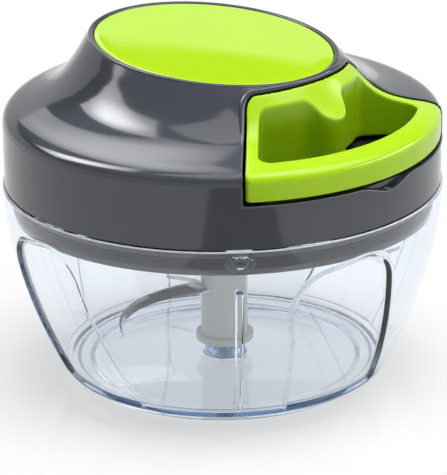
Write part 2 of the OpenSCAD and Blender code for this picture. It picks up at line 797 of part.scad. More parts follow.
// Drive hub: ratchet cup above, hexagonal socket in the stem below
module drive_hub() {
    color([0.88, 0.88, 0.86]) difference() {
        union() {
            translate([0, 0, hub_z0]) cylinder(r = flange_r, h = hub_top - hub_z0);
            translate([0, 0, hub_low]) cylinder(r = stem_r, h = hub_z0 - hub_low + eps);
        }
        translate([0, 0, hub_floor]) cylinder(r = tooth_in, h = cut);
        for (k = [0:tooth_count - 1]) rotate(k * 360 / tooth_count + tooth_turn) translate([0, 0, hub_floor])
            linear_extrude(cut) intersection() {
                circle(tooth_out);
                polygon(concat([[0, 0]], [for (a = [-1, 16, 33]) 2 * flange_r * [cos(a), sin(a)]]));
            }
        translate([0, 0, hub_low - hex_over])
            cylinder(r = hex_r + hex_fit / 2 / cos(30), h = shaft_top - hub_low + 2 * hex_over, $fn = 6);
        translate([0, 0, lid_z - hub_clip_drop - clip_t / 10])
            ring(stem_r + hub_clip_deep, stem_r - hub_clip_deep, clip_t * 1.2);
    }
}

// Clip that keeps the drive hub in its bush
module hub_clip() {
    color([0.6, 0.61, 0.63]) translate([0, 0, lid_z - hub_clip_drop])
        snap_clip(stem_r + hub_clip_out, stem_r - hub_clip_deep, hub_clip_mouth);
}

// Blade shaft with its hexagonal head, collar and blade slots
module blade_shaft() {
    color([0.92, 0.92, 0.9]) difference() {
        union() {
            translate([0, 0, shaft_z0]) cylinder(r = shaft_r, h = head_z - shaft_z0 + eps);
            translate([0, 0, shaft_z0]) cylinder(r = shaft_r + foot_collar_out, h = collar_h);
            translate([0, 0, head_z - collar_h]) cylinder(r = shaft_r + collar_out, h = collar_h);
            translate([0, 0, head_z]) cylinder(r = hex_r, h = shaft_top - head_z, $fn = 6);
        }
        translate([0, 0, shaft_z0 - sbush_h / 10]) cylinder(r = sbush_r, h = sbush_h * 1.1);
        for (k = [0:2]) translate([0, 0, blade_z + k * blade_step]) rotate(120 * k + blade_turn)
            translate([tang_in, -blade_w / 2 - tang_fit, 0]) cube([cut, blade_w + 2 * tang_fit, blade_t]);
    }
}

// Plain bush in the foot of the shaft, running on the bowl pin
module shaft_bush() {
    color([0.8, 0.68, 0.4]) translate([0, 0, shaft_z0]) ring(sbush_r, bpin_r + run, sbush_h);
}

// Sickle blade of one stage with its tang in the shaft, reaching toward the bowl wall at its height
module sickle(stage) {
    n = 16;
    z = blade_z + stage * blade_step;
    length = bowl_at(z) - bowl_wall - blade_gap - tang_in;
    edge = [for (i = [0:n]) let (s = i / n, r = tang_in + length * s, a = sweep_angle * s * s)
        [r * cos(a), r * sin(a)]];
    back = [for (i = [n:-1:0])
        let (s = i / n, r = tang_in + length * (0.06 + 0.94 * s), a = sweep_angle * s * s)
        [r * cos(a) + sin(a) * blade_w * (1 - s), r * sin(a) - cos(a) * blade_w * (1 - s)]];
    color([0.8, 0.81, 0.83]) translate([0, 0, z]) rotate(120 * stage + blade_turn)
        linear_extrude(blade_t) translate([0, blade_w / 2]) polygon(concat(edge, back));
}

// Lowest blade, just above the bowl floor
module blade_low() { sickle(0); }

// Middle blade
module blade_mid() { sickle(1); }

// Highest blade
module blade_top() { sickle(2); }

bowl();
bowl_pin();
lid_base();
lid_gasket();
top_cover();
top_plate();
reel_frame();
frame_screws();
cord_eyelet();
axle_pin();
axle_clip();
hub_bush();
pull_handle();
cord_stop();
pull_cord();
recoil_spring();
cord_drum();
pawl_pins();
pawl_a();
pawl_b();
drive_hub();
hub_clip();
blade_shaft();
shaft_bush();
blade_low();
blade_mid();
blade_top();
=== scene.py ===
import math

import bmesh
import bpy
import numpy as np
from mathutils import Euler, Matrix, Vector


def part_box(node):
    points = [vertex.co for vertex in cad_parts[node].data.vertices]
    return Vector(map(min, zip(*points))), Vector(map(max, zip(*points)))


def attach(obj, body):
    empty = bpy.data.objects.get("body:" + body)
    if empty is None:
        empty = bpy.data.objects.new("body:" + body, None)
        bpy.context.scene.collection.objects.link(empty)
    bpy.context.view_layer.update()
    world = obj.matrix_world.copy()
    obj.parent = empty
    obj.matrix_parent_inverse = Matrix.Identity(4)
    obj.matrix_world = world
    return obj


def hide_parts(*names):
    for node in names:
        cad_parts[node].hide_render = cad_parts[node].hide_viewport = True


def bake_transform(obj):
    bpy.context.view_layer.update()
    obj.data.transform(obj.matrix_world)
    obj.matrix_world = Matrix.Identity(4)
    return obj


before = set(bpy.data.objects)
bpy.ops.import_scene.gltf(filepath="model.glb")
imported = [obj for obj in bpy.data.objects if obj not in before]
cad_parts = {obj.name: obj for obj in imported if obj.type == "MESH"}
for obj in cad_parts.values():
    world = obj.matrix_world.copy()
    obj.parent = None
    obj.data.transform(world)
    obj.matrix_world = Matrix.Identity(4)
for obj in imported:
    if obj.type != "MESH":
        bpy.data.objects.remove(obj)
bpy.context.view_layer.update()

bl_info = {
    "name": "Pull-string food chopper",
    "version": (1, 0, 0),
    "blender": (4, 5, 0),
    "location": "View3D > Sidebar > Chopper",
    "description": "Dresses the packed chopper: clear bowl, blades, lofted lid, pull handle and cord reel",
    "category": "Object",
}

MM = 0.001
TURN = 2 * math.pi
QUARTER = math.pi / 2
# Points closer than this, in metres, are one
SAME_POINT = 1e-7
# Further away than anything on the object, in metres
FAR_OFF = 1.0


def linear(code):
    """An sRGB hex colour as linear red, green, blue and alpha."""
    parts = [int(code[i:i + 2], 16) / 255 for i in (1, 3, 5)]
    return [c / 12.92 if c <= 0.04045 else ((c + 0.055) / 1.055) ** 2.4 for c in parts] + [1.0]


def length(name, description, default):
    """A size in metres."""
    return bpy.props.FloatProperty(name=name, description=description, default=default, unit="LENGTH",
                                   subtype="DISTANCE", precision=5)


def angle(name, description, degrees):
    """An angle, kept in radians."""
    return bpy.props.FloatProperty(name=name, description=description, default=math.radians(degrees),
                                   unit="ROTATION", subtype="ANGLE")


def colour(name, description, code):
    """A colour, kept as linear values."""
    return bpy.props.FloatVectorProperty(name=name, description=description, default=linear(code), size=4,
                                         min=0, max=1, subtype="COLOR")


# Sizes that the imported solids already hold
BOWL_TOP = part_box("bowl")[1].z
LID_LOW, LID_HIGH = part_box("top_cover")
HANDLE_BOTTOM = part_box("pull_handle")[0].z


class ChopperBowl(bpy.types.PropertyGroup):
    """Sizes of the clear bowl."""
    height: length("Height", "Bowl height to its rim", BOWL_TOP)
    rim_r: length("Rim radius", "Outer radius at the rim", 65 * MM)
    low_r: length("Low radius", "Outer radius just above the foot", 48.3 * MM)
    low_z: length("Wall start", "Height where the wall leaves the foot", 3 * MM)
    foot_r: length("Foot radius", "Outer radius of the foot ring", 44.8 * MM)
    wall: length("Wall", "Wall thickness", 2 * MM)
    floor: length("Floor", "Height of the inside floor", 4.4 * MM)
    belly: bpy.props.FloatProperty(name="Belly", description="How strongly the wall bellies out",
                                   default=1.85)
    panel_w: length("Panel width", "Width of each arched grip panel", 33 * MM)
    panel_depth: length("Panel depth", "Depth of each grip panel", 1.0 * MM)
    panel_bead: length("Panel bead", "Height of the low bead round each grip panel", 0.35 * MM)
    panel_turn: angle("Panel turn", "Turn of the grip panels about the axis", -101)
    panel_lean: angle("Panel lean", "Lean of the grip panels", 10)
    pip_out: length("Pip", "How far the rim pip stands out", 0.9 * MM)
    pip_turn: angle("Pip turn", "Turn of the rim pip and the inner rib", -133)


class ChopperLid(bpy.types.PropertyGroup):
    """Sizes of the lofted lid."""
    edge_z: length("Edge height", "Height of the lid's lower edge", LID_LOW.z)
    radius: length("Radius", "Outer radius of the lid wall", LID_HIGH.x)
    wall_h: length("Wall height", "Height of the straight wall", 18.6 * MM)
    neck_h: length("Neck height", "Height from the wall's top to the middle of the rim", 21.1 * MM)
    rim_b: length("Rim half length", "Half length of the oval rim along the pull", 39.1 * MM)
    rim_a: length("Rim half width", "Half width of the oval rim across the pull", 33.9 * MM)
    rim_shift: length("Rim shift", "Shift of the rim away from the handle", 3.1 * MM)
    rim_tilt: angle("Rim tilt", "Fall of the top toward the handle", 4)
    rim_w: length("Rim width", "Width of the dark rim round the top plate", 1.6 * MM)
    shell: length("Shell", "Thickness of the shell", 2.2 * MM)
    draft: length("Draft", "How far the wall's top stands inside the radius", 0.5 * MM)
    reveal: length("Reveal", "How far the wall's foot stands inside the bowl's rim", 0.45 * MM)
    lip: length("Lip", "Radius of the rounded lip at the notch's inner end", 0.95 * MM)
    lip_end: length("Lip end", "Radius of the lip where it has thinned out to a rounded edge", 0.3 * MM)


class ChopperHandle(bpy.types.PropertyGroup):
    """Sizes of the pull handle and its notch."""
    inner: length("Inner radius", "Radius of the handle's inner end", 37.3 * MM)
    inner_w: length("Inner half width", "Half width at the inner end", 22 * MM)
    outer_w: length("Outer half width", "Half width at the outer edge", 43.2 * MM)
    bar: length("Outer bar", "Width of the bar in front of the finger hole", 6.8 * MM)
    side: length("Side bar", "Width of the bars beside the finger hole", 3.5 * MM)
    bump: length("Bump", "Radius of the bump that holds the cord's end", 6.2 * MM)
    stop: length("Stop", "Distance of the stop's pocket from the inner end", 4.2 * MM)
    gap: length("Gap", "Gap between the handle and its notch", 1 * MM)
    rise: length("Inner rise", "How far the inner end stands up to the height of the lid's lip", 1.1 * MM)
    rise_run: length("Rise run", "Distance over which the inner end rises", 9 * MM)
    corner: length("Inner corner", "Radius of the inner corners in plan", 3.5 * MM)
    bottom: length("Underside", "Height of the handle's underside", HANDLE_BOTTOM)
    lift: length("Lift", "Gap under the handle", 1.2 * MM)
    set_back: length("Set-back", "Set-back of the outer face from the lid wall", 0.6 * MM)
    cord_z: length("Cord height", "Height of the cord's hole", 83.3 * MM)


class ChopperBlades(bpy.types.PropertyGroup):
    """Sizes of the sickle blades."""
    thick: length("Thickness", "Blade thickness", 1 * MM)
    width: length("Width", "Blade width at its root", 8 * MM)
    grind: length("Grind", "Width of the ground edge", 2.6 * MM)
    edge: length("Edge", "Thickness left at the cutting edge", 0.12 * MM)
    low_z: length("Lowest blade", "Height of the lowest blade", 12 * MM)
    step: length("Step", "Rise from one blade to the next", 13 * MM)
    gap: length("Tip gap", "Gap from a blade's tip to the bowl wall", 9.2 * MM)
    root: length("Root", "Radius where the tang starts in the shaft", 4.6 * MM)
    sweep: angle("Sweep", "How far the blade sweeps back at its tip", 34)


class ChopperReel(bpy.types.PropertyGroup):
    """Sizes of the cord and the recoil spring."""
    cord_d: length("Cord diameter", "Diameter of the pull cord", 2 * MM)
    cord_r: length("Winding radius", "Radius of the cord's turns", 19.2 * MM)
    cord_pitch: length("Cord pitch", "Rise per turn of the wound cord", 2.8 * MM)
    cord_turns: bpy.props.IntProperty(name="Cord turns", description="Turns of cord on the drum", default=3)
    bend_u: length("Bend", "Distance of the cord's bend from the axis", 32.2 * MM)
    stop_u: length("Stop", "Distance of the cord's end from the axis", 39.15 * MM)
    spring_z: length("Spring height", "Height of the spring's lower edge", 80.9 * MM)
    spring_h: length("Spring width", "Width of the spring strip", 5.5 * MM)
    spring_t: length("Spring thickness", "Thickness of the spring strip", 0.3 * MM)
    spring_turns: bpy.props.IntProperty(name="Spring turns", description="Turns of the spring", default=8)


class ChopperColours(bpy.types.PropertyGroup):
    """Colours of the finishes."""
    charcoal: colour("Charcoal", "Lid plastic", "#44474e")
    lime: colour("Lime", "Handle and top plate", "#bae70f")
    lime_cloud: colour("Lime cloud", "Faint clouds in the lime plastic", "#b3e10d")
    clear: colour("Clear", "Tint of the bowl", "#fbfdff")
    clear_depth: colour("Clear depth", "Colour of light that has gone far in the bowl's plastic", "#7cb4da")
    clear_shadow: colour("Clear shadow", "Light that passes the bowl's wall", "#e2e6e9")
    # Painted highlight: the near-white of the bead along the bowl's rim, which stands in for the lamps'
    # highlight on the clear rim
    rim_highlight_white: colour("Frost", "Frosted edge of the bowl's rim", "#f4f6f8")
    steel: colour("Steel", "Blades", "#c6c8cb")
    bright: colour("Bright steel", "Pins, clips and screws", "#b9bbbe")
    white: colour("White", "Blade shaft", "#e9e8e2")
    reel: colour("Reel", "Drum and hub", "#dedcd4")
    acetal: colour("Acetal", "Hub bush", "#d9d3c4")
    black: colour("Black", "Inner frame", "#1d1e20")
    silicone: colour("Silicone", "Lid gasket", "#3c3e42")
    brass: colour("Brass", "Shaft bush", "#b98f4c")
    spring: colour("Spring", "Blued spring steel", "#565b66")
    straw: colour("Straw", "Straw spots on the spring", "#7c7466")
    cord: colour("Cord", "Braided cord", "#e6e5de")
    cord_shade: colour("Cord shade", "Darker spots of the cord", "#d8d6cc")
    floor: colour("Floor", "Studio floor", "#fbfbfb")
    card: colour("Card", "Dark studio card", "#959597")


GROUPS = {"bowl": ChopperBowl, "lid": ChopperLid, "handle": ChopperHandle, "blades": ChopperBlades,
          "reel": ChopperReel, "colours": ChopperColours}


def sizes(name):
    """One of the property groups, as kept on the scene."""
    return getattr(bpy.context.scene, "chopper_" + name)


# Materials

def add(tree, kind, settings=None, links=None):
    """Adds one shader node, sets its inputs or options by name and links its inputs from (node, output)."""
    node = tree.nodes.new(kind)
    for key, value in (settings or {}).items():
        if isinstance(key, int) or not hasattr(node, key):
            node.inputs[key].default_value = value
        else:
            setattr(node, key, value)
    for key, (source, output) in (links or {}).items():
        tree.links.new(source.outputs[output], node.inputs[key])
    return node


def bare_tree(made):
    """The emptied node tree of a material, world or lamp."""
    made.use_nodes = True
    made.node_tree.nodes.clear()
    return made.node_tree


def finish(name, base, shine, bump, mottle=None, wear=None):
    """A surface of one Principled shader in one of the colours, with sizes in metres.

    shine holds the shader's sockets, bump is the (size, height) of the relief, mottle is (size, low
    roughness, high roughness) and wear is (size, other colour, share)."""
    made = bpy.data.materials.get(name)
    if made:
        return made
    colours = sizes("colours")
    tint = getattr(colours, base)
    made = bpy.data.materials.new(name)
    tree = bare_tree(made)
    spot = add(tree, "ShaderNodeTexCoord")
    links = {}
    if wear:
        size, other, share = wear
        grain = add(tree, "ShaderNodeTexNoise", {"Scale": 1 / size, "Detail": 3.0},
                    {"Vector": (spot, "Object")})
        ramp = add(tree, "ShaderNodeMapRange", {"From Min": 0.35, "From Max": 0.7, "To Max": share},
                   {"Value": (grain, "Fac")})
        mix = add(tree, "ShaderNodeMix", {"data_type": "RGBA", 6: tint, 7: getattr(colours, other)},
                  {0: (ramp, "Result")})
        links["Base Color"] = (mix, 2)
    if mottle:
        size, low, high = mottle
        cloud = add(tree, "ShaderNodeTexNoise", {"Scale": 1 / size, "Detail": 2.0},
                    {"Vector": (spot, "Object")})
        rough = add(tree, "ShaderNodeMapRange",
                    {"From Min": 0.3, "From Max": 0.7, "To Min": low, "To Max": high},
                    {"Value": (cloud, "Fac")})
        links["Roughness"] = (rough, "Result")
    size, height = bump
    relief = add(tree, "ShaderNodeTexNoise", {"Scale": 1 / size, "Detail": 1.0}, {"Vector": (spot, "Object")})
    raised = add(tree, "ShaderNodeBump", {"Strength": 1.0, "Distance": height}, {"Height": (relief, "Fac")})
    links["Normal"] = (raised, "Normal")
    shader = add(tree, "ShaderNodeBsdfPrincipled", {"Base Color": tint, **shine}, links)
    add(tree, "ShaderNodeOutputMaterial", None, {"Surface": (shader, "BSDF")})
    return made


def charcoal_abs():
    """Moulded ABS from a polished tool: deep grey, glossy, with the faint waviness of a thick moulding."""
    return finish("charcoal_moulded_abs", "charcoal", {"IOR": 1.62, "Roughness": 0.1},
                  (9 * MM, 0.012 * MM), (14 * MM, 0.08, 0.12))


def lime_abs():
    """Moulded ABS from a polished tool, lime: high gloss, with faint clouds in the colour from the flow."""
    return finish("lime_moulded_abs", "lime", {"IOR": 1.53, "Roughness": 0.02},
                  (7 * MM, 0.001 * MM), (11 * MM, 0.015, 0.028), (18 * MM, "lime_cloud", 0.5))


def satin_lime_abs():
    """Moulded ABS from a blasted and brushed tool, lime: half gloss, so lights run softly along its edges."""
    return finish("lime_satin_moulded_abs", "lime", {"IOR": 1.5, "Roughness": 0.2, "Specular IOR Level": 0.4},
                  (7 * MM, 0.001 * MM), (11 * MM, 0.17, 0.23), (18 * MM, "lime_cloud", 0.5))


def clear_san():
    """Moulded SAN: water-clear, mirror smooth, with long soft ripples from the mould's flow. Thick edges look
    blue, because the plastic takes a little red from light that goes far in it, and lamps cast a pale shadow
    through it."""
    c = sizes("colours")
    made = finish("clear_moulded_san", "clear", {"IOR": 1.57, "Roughness": 0.015, "Transmission Weight": 1.0},
                  (12 * MM, 0.006 * MM))
    tree = made.node_tree
    path = add(tree, "ShaderNodeLightPath")
    pale = add(tree, "ShaderNodeBsdfTransparent", {"Color": c.clear_shadow})
    mixed = add(tree, "ShaderNodeMixShader", None, {
        0: (path, "Is Shadow Ray"), 1: (tree.nodes["Principled BSDF"], "BSDF"), 2: (pale, "BSDF")})
    depth = add(tree, "ShaderNodeVolumeAbsorption", {"Color": c.clear_depth, "Density": 30.0})
    end = tree.nodes["Material Output"]
    tree.links.new(mixed.outputs["Shader"], end.inputs["Surface"])
    tree.links.new(depth.outputs["Volume"], end.inputs["Volume"])
    return made


def rim_highlight_san():
    """Painted highlight along the bowl's rim: an opaque, near-white, half-matt finish on the rim's bead, so
    that the rim shows as a thin white line.
    """
    return finish("painted_rim_highlight", "rim_highlight_white", {"IOR": 1.57, "Roughness": 0.4},
                  (0.5 * MM, 0.01 * MM), (3 * MM, 0.35, 0.45))


def ground_steel():
    """Stainless steel ground along the blade: bright, with drawn lines. Real lines of 0.05 mm are drawn at
    0.35 mm so that they show."""
    return finish("ground_stainless_steel", "steel", {"Metallic": 1.0, "Roughness": 0.24, "Anisotropic": 0.4},
                  (0.35 * MM, 0.004 * MM), (3 * MM, 0.18, 0.3))


def turned_steel():
    """Turned and plated steel of pins, clips and screws: bright with a soft satin."""
    return finish("turned_plated_steel", "bright", {"Metallic": 1.0, "Roughness": 0.28},
                  (0.5 * MM, 0.003 * MM), (2 * MM, 0.22, 0.36))


def white_pom():
    """Moulded POM: milky white, waxy half gloss, a little light under the skin."""
    return finish("white_moulded_pom", "white", {
        "IOR": 1.48, "Roughness": 0.32, "Subsurface Weight": 0.12,
        "Subsurface Radius": (2 * MM, 1.6 * MM, 1.2 * MM)}, (2 * MM, 0.006 * MM), (6 * MM, 0.27, 0.38))


def reel_nylon():
    """Moulded nylon of the drum and hub: warm white, dull, with a fine spark-eroded grain drawn at 0.6 mm."""
    return finish("reel_moulded_nylon", "reel", {"IOR": 1.53, "Roughness": 0.45},
                  (0.6 * MM, 0.01 * MM), (8 * MM, 0.38, 0.52))


def bearing_acetal():
    """Turned acetal of the hub's bush: ivory, smooth, half gloss."""
    return finish("bearing_turned_acetal", "acetal", {"IOR": 1.48, "Roughness": 0.3},
                  (1 * MM, 0.004 * MM), (4 * MM, 0.25, 0.36))


def frame_pp():
    """Moulded black polypropylene: flat sheen with a fine even grain drawn at 0.8 mm."""
    return finish("black_moulded_pp", "black", {"IOR": 1.49, "Roughness": 0.42},
                  (0.8 * MM, 0.012 * MM), (7 * MM, 0.36, 0.5))


def soft_silicone():
    """Moulded silicone rubber: dark grey, matt, a soft bloom on the surface."""
    return finish("grey_moulded_silicone", "silicone", {
        "IOR": 1.42, "Roughness": 0.55, "Subsurface Weight": 0.1,
        "Subsurface Radius": (1 * MM, 1 * MM, 1 * MM)}, (1.2 * MM, 0.01 * MM), (5 * MM, 0.48, 0.62))


def bush_brass():
    """Sintered brass: dull gold with open pores drawn at 0.4 mm."""
    return finish("sintered_brass", "brass", {"Metallic": 1.0, "Roughness": 0.38},
                  (0.4 * MM, 0.01 * MM), (1.5 * MM, 0.3, 0.46))


def blued_spring():
    """Rolled spring steel, blued by heat: dark blue grey, smooth, with straw spots."""
    return finish("blued_spring_steel", "spring", {"Metallic": 1.0, "Roughness": 0.27},
                  (0.6 * MM, 0.002 * MM), (3 * MM, 0.22, 0.33), (6 * MM, "straw", 0.6))


def braided_nylon():
    """Braided nylon cord: off-white, matt with a silky sheen from its filaments, drawn at 0.25 mm."""
    return finish("braided_nylon", "cord", {"IOR": 1.53, "Roughness": 0.6, "Sheen Weight": 0.4},
                  (0.25 * MM, 0.03 * MM), (1 * MM, 0.52, 0.7), (3 * MM, "cord_shade", 0.6))


# Mesh helpers

def turn_outward(mesh):
    """Joins the points that coincide and turns the faces outward."""
    work = bmesh.new()
    work.from_mesh(mesh)
    bmesh.ops.remove_doubles(work, verts=work.verts, dist=SAME_POINT)
    bmesh.ops.recalc_face_normals(work, faces=work.faces)
    work.to_mesh(mesh)
    work.free()


def bare(name, form):
    """A closed mesh object from (points in metres, faces), not yet a piece."""
    mesh = bpy.data.meshes.new(name)
    mesh.from_pydata([tuple(v) for v in form[0]], [], form[1])
    mesh.validate()
    turn_outward(mesh)
    obj = bpy.data.objects.new(name, mesh)
    bpy.context.collection.objects.link(obj)
    return obj


def settle(obj, material, body, nodes, sharp):
    """Gives a piece its finish and its body, and hides the solids that it stands for.

    Only edges sharper than the angle sharp, in degrees, stay sharp."""
    mesh = obj.data
    mesh.shade_smooth()
    mesh.set_sharp_from_angle(angle=math.radians(sharp))
    mesh.materials.clear()
    mesh.materials.append(material)
    if body:
        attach(obj, body)
    if nodes:
        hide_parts(*nodes)
    return obj


def place(name, form, material, body, nodes, sharp):
    """Makes a piece from (points in metres, faces)."""
    return settle(bare(name, form), material, body, nodes, sharp)


def apply_modifiers(obj):
    """Fixes an object's modifiers into its mesh."""
    bpy.context.view_layer.update()
    graph = bpy.context.evaluated_depsgraph_get()
    mesh = bpy.data.meshes.new_from_object(obj.evaluated_get(graph))
    old = obj.data
    obj.modifiers.clear()
    obj.data = mesh
    bpy.data.meshes.remove(old)


def carve(obj, tool, operation):
    """Cuts or meets one closed mesh with another, and removes the tool."""
    mod = obj.modifiers.new("carve", "BOOLEAN")
    mod.operation = operation
    mod.solver = "EXACT"
    mod.object = tool
    apply_modifiers(obj)
    mesh = tool.data
    bpy.data.objects.remove(tool)
    bpy.data.meshes.remove(mesh)
    if not obj.data.polygons:
        raise RuntimeError("nothing is left of " + obj.name)


def around(count):
    """Angles of even steps round a circle."""
    return np.linspace(0, TURN, count + 1)[:-1]


def skin(rings, loop=False, caps=False):
    """Points and faces over rings of one count: closed round each ring, and from last to first if loop."""
    rows, n = len(rings), len(rings[0])
    verts = [p for ring in rings for p in ring]
    faces = []
    for j in range(rows if loop else rows - 1):
        a, b = j * n, ((j + 1) % rows) * n
        faces += [(a + i, a + (i + 1) % n, b + (i + 1) % n, b + i) for i in range(n)]
    if caps:
        for row, ring in ((0, rings[0]), (rows - 1, rings[-1])):
            verts.append(np.mean(np.array(ring), axis=0))
            k = len(verts) - 1
            faces += [(row * n + i, row * n + (i + 1) % n, k) for i in range(n)]
    return verts, faces


def prism(name, outline, low, high):
    """A closed prism over a plan outline given along the pull (u) and across it (w)."""
    n = len(outline)
    verts = [(w, -u, z) for z in (low, high) for u, w in outline]
    faces = [(i, (i + 1) % n, n + (i + 1) % n, n + i) for i in range(n)]
    faces += [tuple(range(n)), tuple(range(n, 2 * n))]
    return bare(name, (verts, faces))


def soften(points, reach, steps):
    """A profile with each inner corner rounded over the given reach, or nearly half of a shorter side."""
    most = 0.48
    out = [points[0]]
    for before, corner, after in zip(points, points[1:], points[2:]):
        b, c, a = (np.array(p, float) for p in (before, corner, after))
        lb, la = np.linalg.norm(b - c), np.linalg.norm(a - c)
        r = min(reach, lb * most, la * most)
        p, q = c + (b - c) / lb * r, c + (a - c) / la * r
        for k in range(steps + 1):
            t = k / steps
            out.append(tuple((1 - t) ** 2 * p + 2 * t * (1 - t) * c + t * t * q))
    out.append(points[-1])
    return out


def smooth_step(x):
    """Eases from 0 to 1."""
    t = np.clip(x, 0, 1)
    return t * t * (3 - 2 * t)


def directions(points):
    """Unit directions along a line of points."""
    forward = np.gradient(points, axis=0)
    return forward / np.linalg.norm(forward, axis=1)[:, None]


def resample(line, spacing):
    """Points at an even spacing along a line."""
    pts = np.array(line, float)
    gone = np.concatenate([[0], np.cumsum(np.linalg.norm(np.diff(pts, axis=0), axis=1))])
    keep = np.concatenate([[True], np.diff(gone) > SAME_POINT / 100])
    pts, gone = pts[keep], gone[keep]
    at = np.linspace(0, gone[-1], max(2, int(gone[-1] / spacing)) + 1)
    return list(zip(*(np.interp(at, gone, pts[:, k]) for k in range(pts.shape[1]))))


def tube(line, sides, radius):
    """A closed tube along a line, whose radius(i, angle) is given at each point and angle round it."""
    pts = np.array(line, float)
    forward = directions(pts)
    rings = []
    side = np.cross(forward[0], (0, 0, 1.0))
    for i, (p, f) in enumerate(zip(pts, forward)):
        side = side - f * (side @ f)
        side /= np.linalg.norm(side)
        up = np.cross(side, f)
        rings.append([p + radius(i, a) * (math.cos(a) * side + math.sin(a) * up) for a in around(sides)])
    return skin(rings, caps=True)


def arc(centre, radius, start, end, steps):
    """Points on an arc in plan, from one angle to another in radians."""
    return [(centre[0] + radius * math.cos(start + (end - start) * k / steps),
             centre[1] + radius * math.sin(start + (end - start) * k / steps)) for k in range(steps + 1)]


# Shape of the bowl's wall

def bowl_wall(z):
    """Outer radius of the bowl's wall at a height."""
    s = sizes("bowl")
    return s.rim_r - (s.rim_r - s.low_r) * max(0.0, (s.height - z) / (s.height - s.low_z)) ** s.belly


# Shape of the lid

# Share of the way out and of the way up along the shoulder and neck
NECK = [(1, 0), (0.984, 0.08), (0.934, 0.148), (0.844, 0.2), (0.688, 0.252), (0.531, 0.322), (0.395, 0.422),
        (0.277, 0.557), (0.16, 0.73), (0.0625, 0.896), (0, 1)]


def neck_curve(per_span=6):
    """The neck's shape with a smooth curve through its points."""
    pts = np.array(NECK, float)
    ends = np.vstack([2 * pts[0] - pts[1], pts, 2 * pts[-1] - pts[-2]])
    out = []
    for k in range(len(pts) - 1):
        p0, p1, p2, p3 = ends[k:k + 4]
        for i in range(per_span):
            t = i / per_span
            out.append(0.5 * (2 * p1 + (p2 - p0) * t + (2 * p0 - 5 * p1 + 4 * p2 - p3) * t * t
                              + (3 * p1 - p0 - 3 * p2 + p3) * t ** 3))
    out.append(pts[-1])
    return np.array(out)


def rim_radius(a, inset=0.0):
    """Radius of the oval rim at an angle from the pull, moved in by an inset."""
    s = sizes("lid")
    b2, a2 = (s.rim_b - inset) ** 2, (s.rim_a - inset) ** 2
    ca, sa = math.cos(a), math.sin(a)
    qa = ca * ca / b2 + sa * sa / a2
    qb = 2 * s.rim_shift * ca / b2
    qc = s.rim_shift ** 2 / b2 - 1
    return (-qb + math.sqrt(qb * qb - 4 * qa * qc)) / (2 * qa)


def rim_height(r, a):
    """Height of the tilted rim's plane at a place."""
    s = sizes("lid")
    return s.edge_z + s.wall_h + s.neck_h - math.tan(s.rim_tilt) * (r * math.cos(a) + s.rim_shift)


def lid_wall(z):
    """Radius of the lid's wall at a height: it stands just inside the bowl's rim and leans in."""
    s = sizes("lid")
    return s.radius - s.reveal - (s.draft - s.reveal) * (z - s.edge_z) / s.wall_h


def lid_point(a, out, up, inset=0.0, drop=0.0):
    """A point of the lid at an angle from the pull and a share out and up the neck."""
    s = sizes("lid")
    rim = rim_radius(a, inset)
    top = s.edge_z + s.wall_h
    r = rim * (1 - out) + (s.radius - s.draft - inset) * out
    z = top + (rim_height(rim, a) - top) * up - drop
    return (r * math.sin(a), -r * math.cos(a), z)


def lid_height(a, r, curve):
    """Height of the lid's surface at an angle and radius, flat inside the rim."""
    s = sizes("lid")
    rim = rim_radius(a)
    top = s.edge_z + s.wall_h
    out = (r - rim) / (s.radius - s.draft - rim)
    up = np.interp(out, curve[::-1, 0], curve[::-1, 1])
    return top + (rim_height(rim, a) - top) * float(up)


# Outline of the handle

def handle_side(margin):
    """The handle's straight side: its unit direction, its outward normal and its offset."""
    s, lid = sizes("handle"), sizes("lid")
    x_in = math.sqrt(s.inner ** 2 - s.inner_w ** 2)
    x_out = math.sqrt(lid.radius ** 2 - s.outer_w ** 2)
    along = np.array([x_out - x_in, s.outer_w - s.inner_w])
    along /= np.linalg.norm(along)
    normal = np.array([-along[1], along[0]])
    return along, normal, float(normal @ np.array([x_in, s.inner_w])) + margin


def corner_centre(radius, margin, inset, sign):
    """Centre of a round corner between the side and an arc, inside both by the inset."""
    along, normal, offset = handle_side(margin)
    reach = radius + sign * inset
    across = offset - inset
    return across * normal + math.sqrt(reach ** 2 - across ** 2) * along


def sector_half(r_in, r_out, margin, inner_corner, outer_corner, start=None):
    """Half outline of the handle's sector, from the middle of its inner end, or from the points of start, to
    the middle of its outer edge."""
    normal = handle_side(margin)[1]
    c_in = corner_centre(r_in, margin, inner_corner, 1)
    c_out = corner_centre(r_out, margin, outer_corner, -1)
    a_in, a_out = math.atan2(c_in[1], c_in[0]), math.atan2(c_out[1], c_out[0])
    a_side = math.atan2(normal[1], normal[0])
    if start:
        first = math.atan2(start[-1][1], start[-1][0])
        pts = start[:-1] + arc((0, 0), r_in, first, a_in, 10)
    else:
        pts = arc((0, 0), r_in, 0, a_in, 24)
    pts += arc(c_in, inner_corner, a_in + math.pi, a_side, 10)[1:]
    pts += arc(c_out, outer_corner, a_side, a_out, 8)
    pts += arc((0, 0), r_out, a_out, 0, 40)[1:]
    return pts


def mirrored(half):
    """A closed outline from its half on the positive side, whose ends lie on the middle line."""
    return half + [(u, -w) for u, w in half[-2:0:-1]]


def hole_outline():
    """Outline of the finger hole: two lobes with the cord's bump between them."""
    s, lid = sizes("handle"), sizes("lid")
    back_bar, bump_in, flare, corner = 2.9 * MM, 2.5 * MM, 5 * MM, 3 * MM
    lobe, bump_u = s.inner + back_bar, s.inner + bump_in
    reach = lobe + flare
    u = (reach ** 2 + bump_u ** 2 - (s.bump + flare) ** 2) / (2 * bump_u)
    w = math.sqrt(reach ** 2 - u ** 2)
    to_bump = math.atan2(w, u - bump_u)
    pts = arc((bump_u, 0), s.bump, 0, to_bump, 16)
    pts += arc((u, w), flare, to_bump + math.pi, math.atan2(w, u) + math.pi, 12)[1:]
    out = lid.radius - s.set_back - s.bar
    return mirrored(sector_half(lobe, out, -s.side, corner, corner, pts))


# Stage

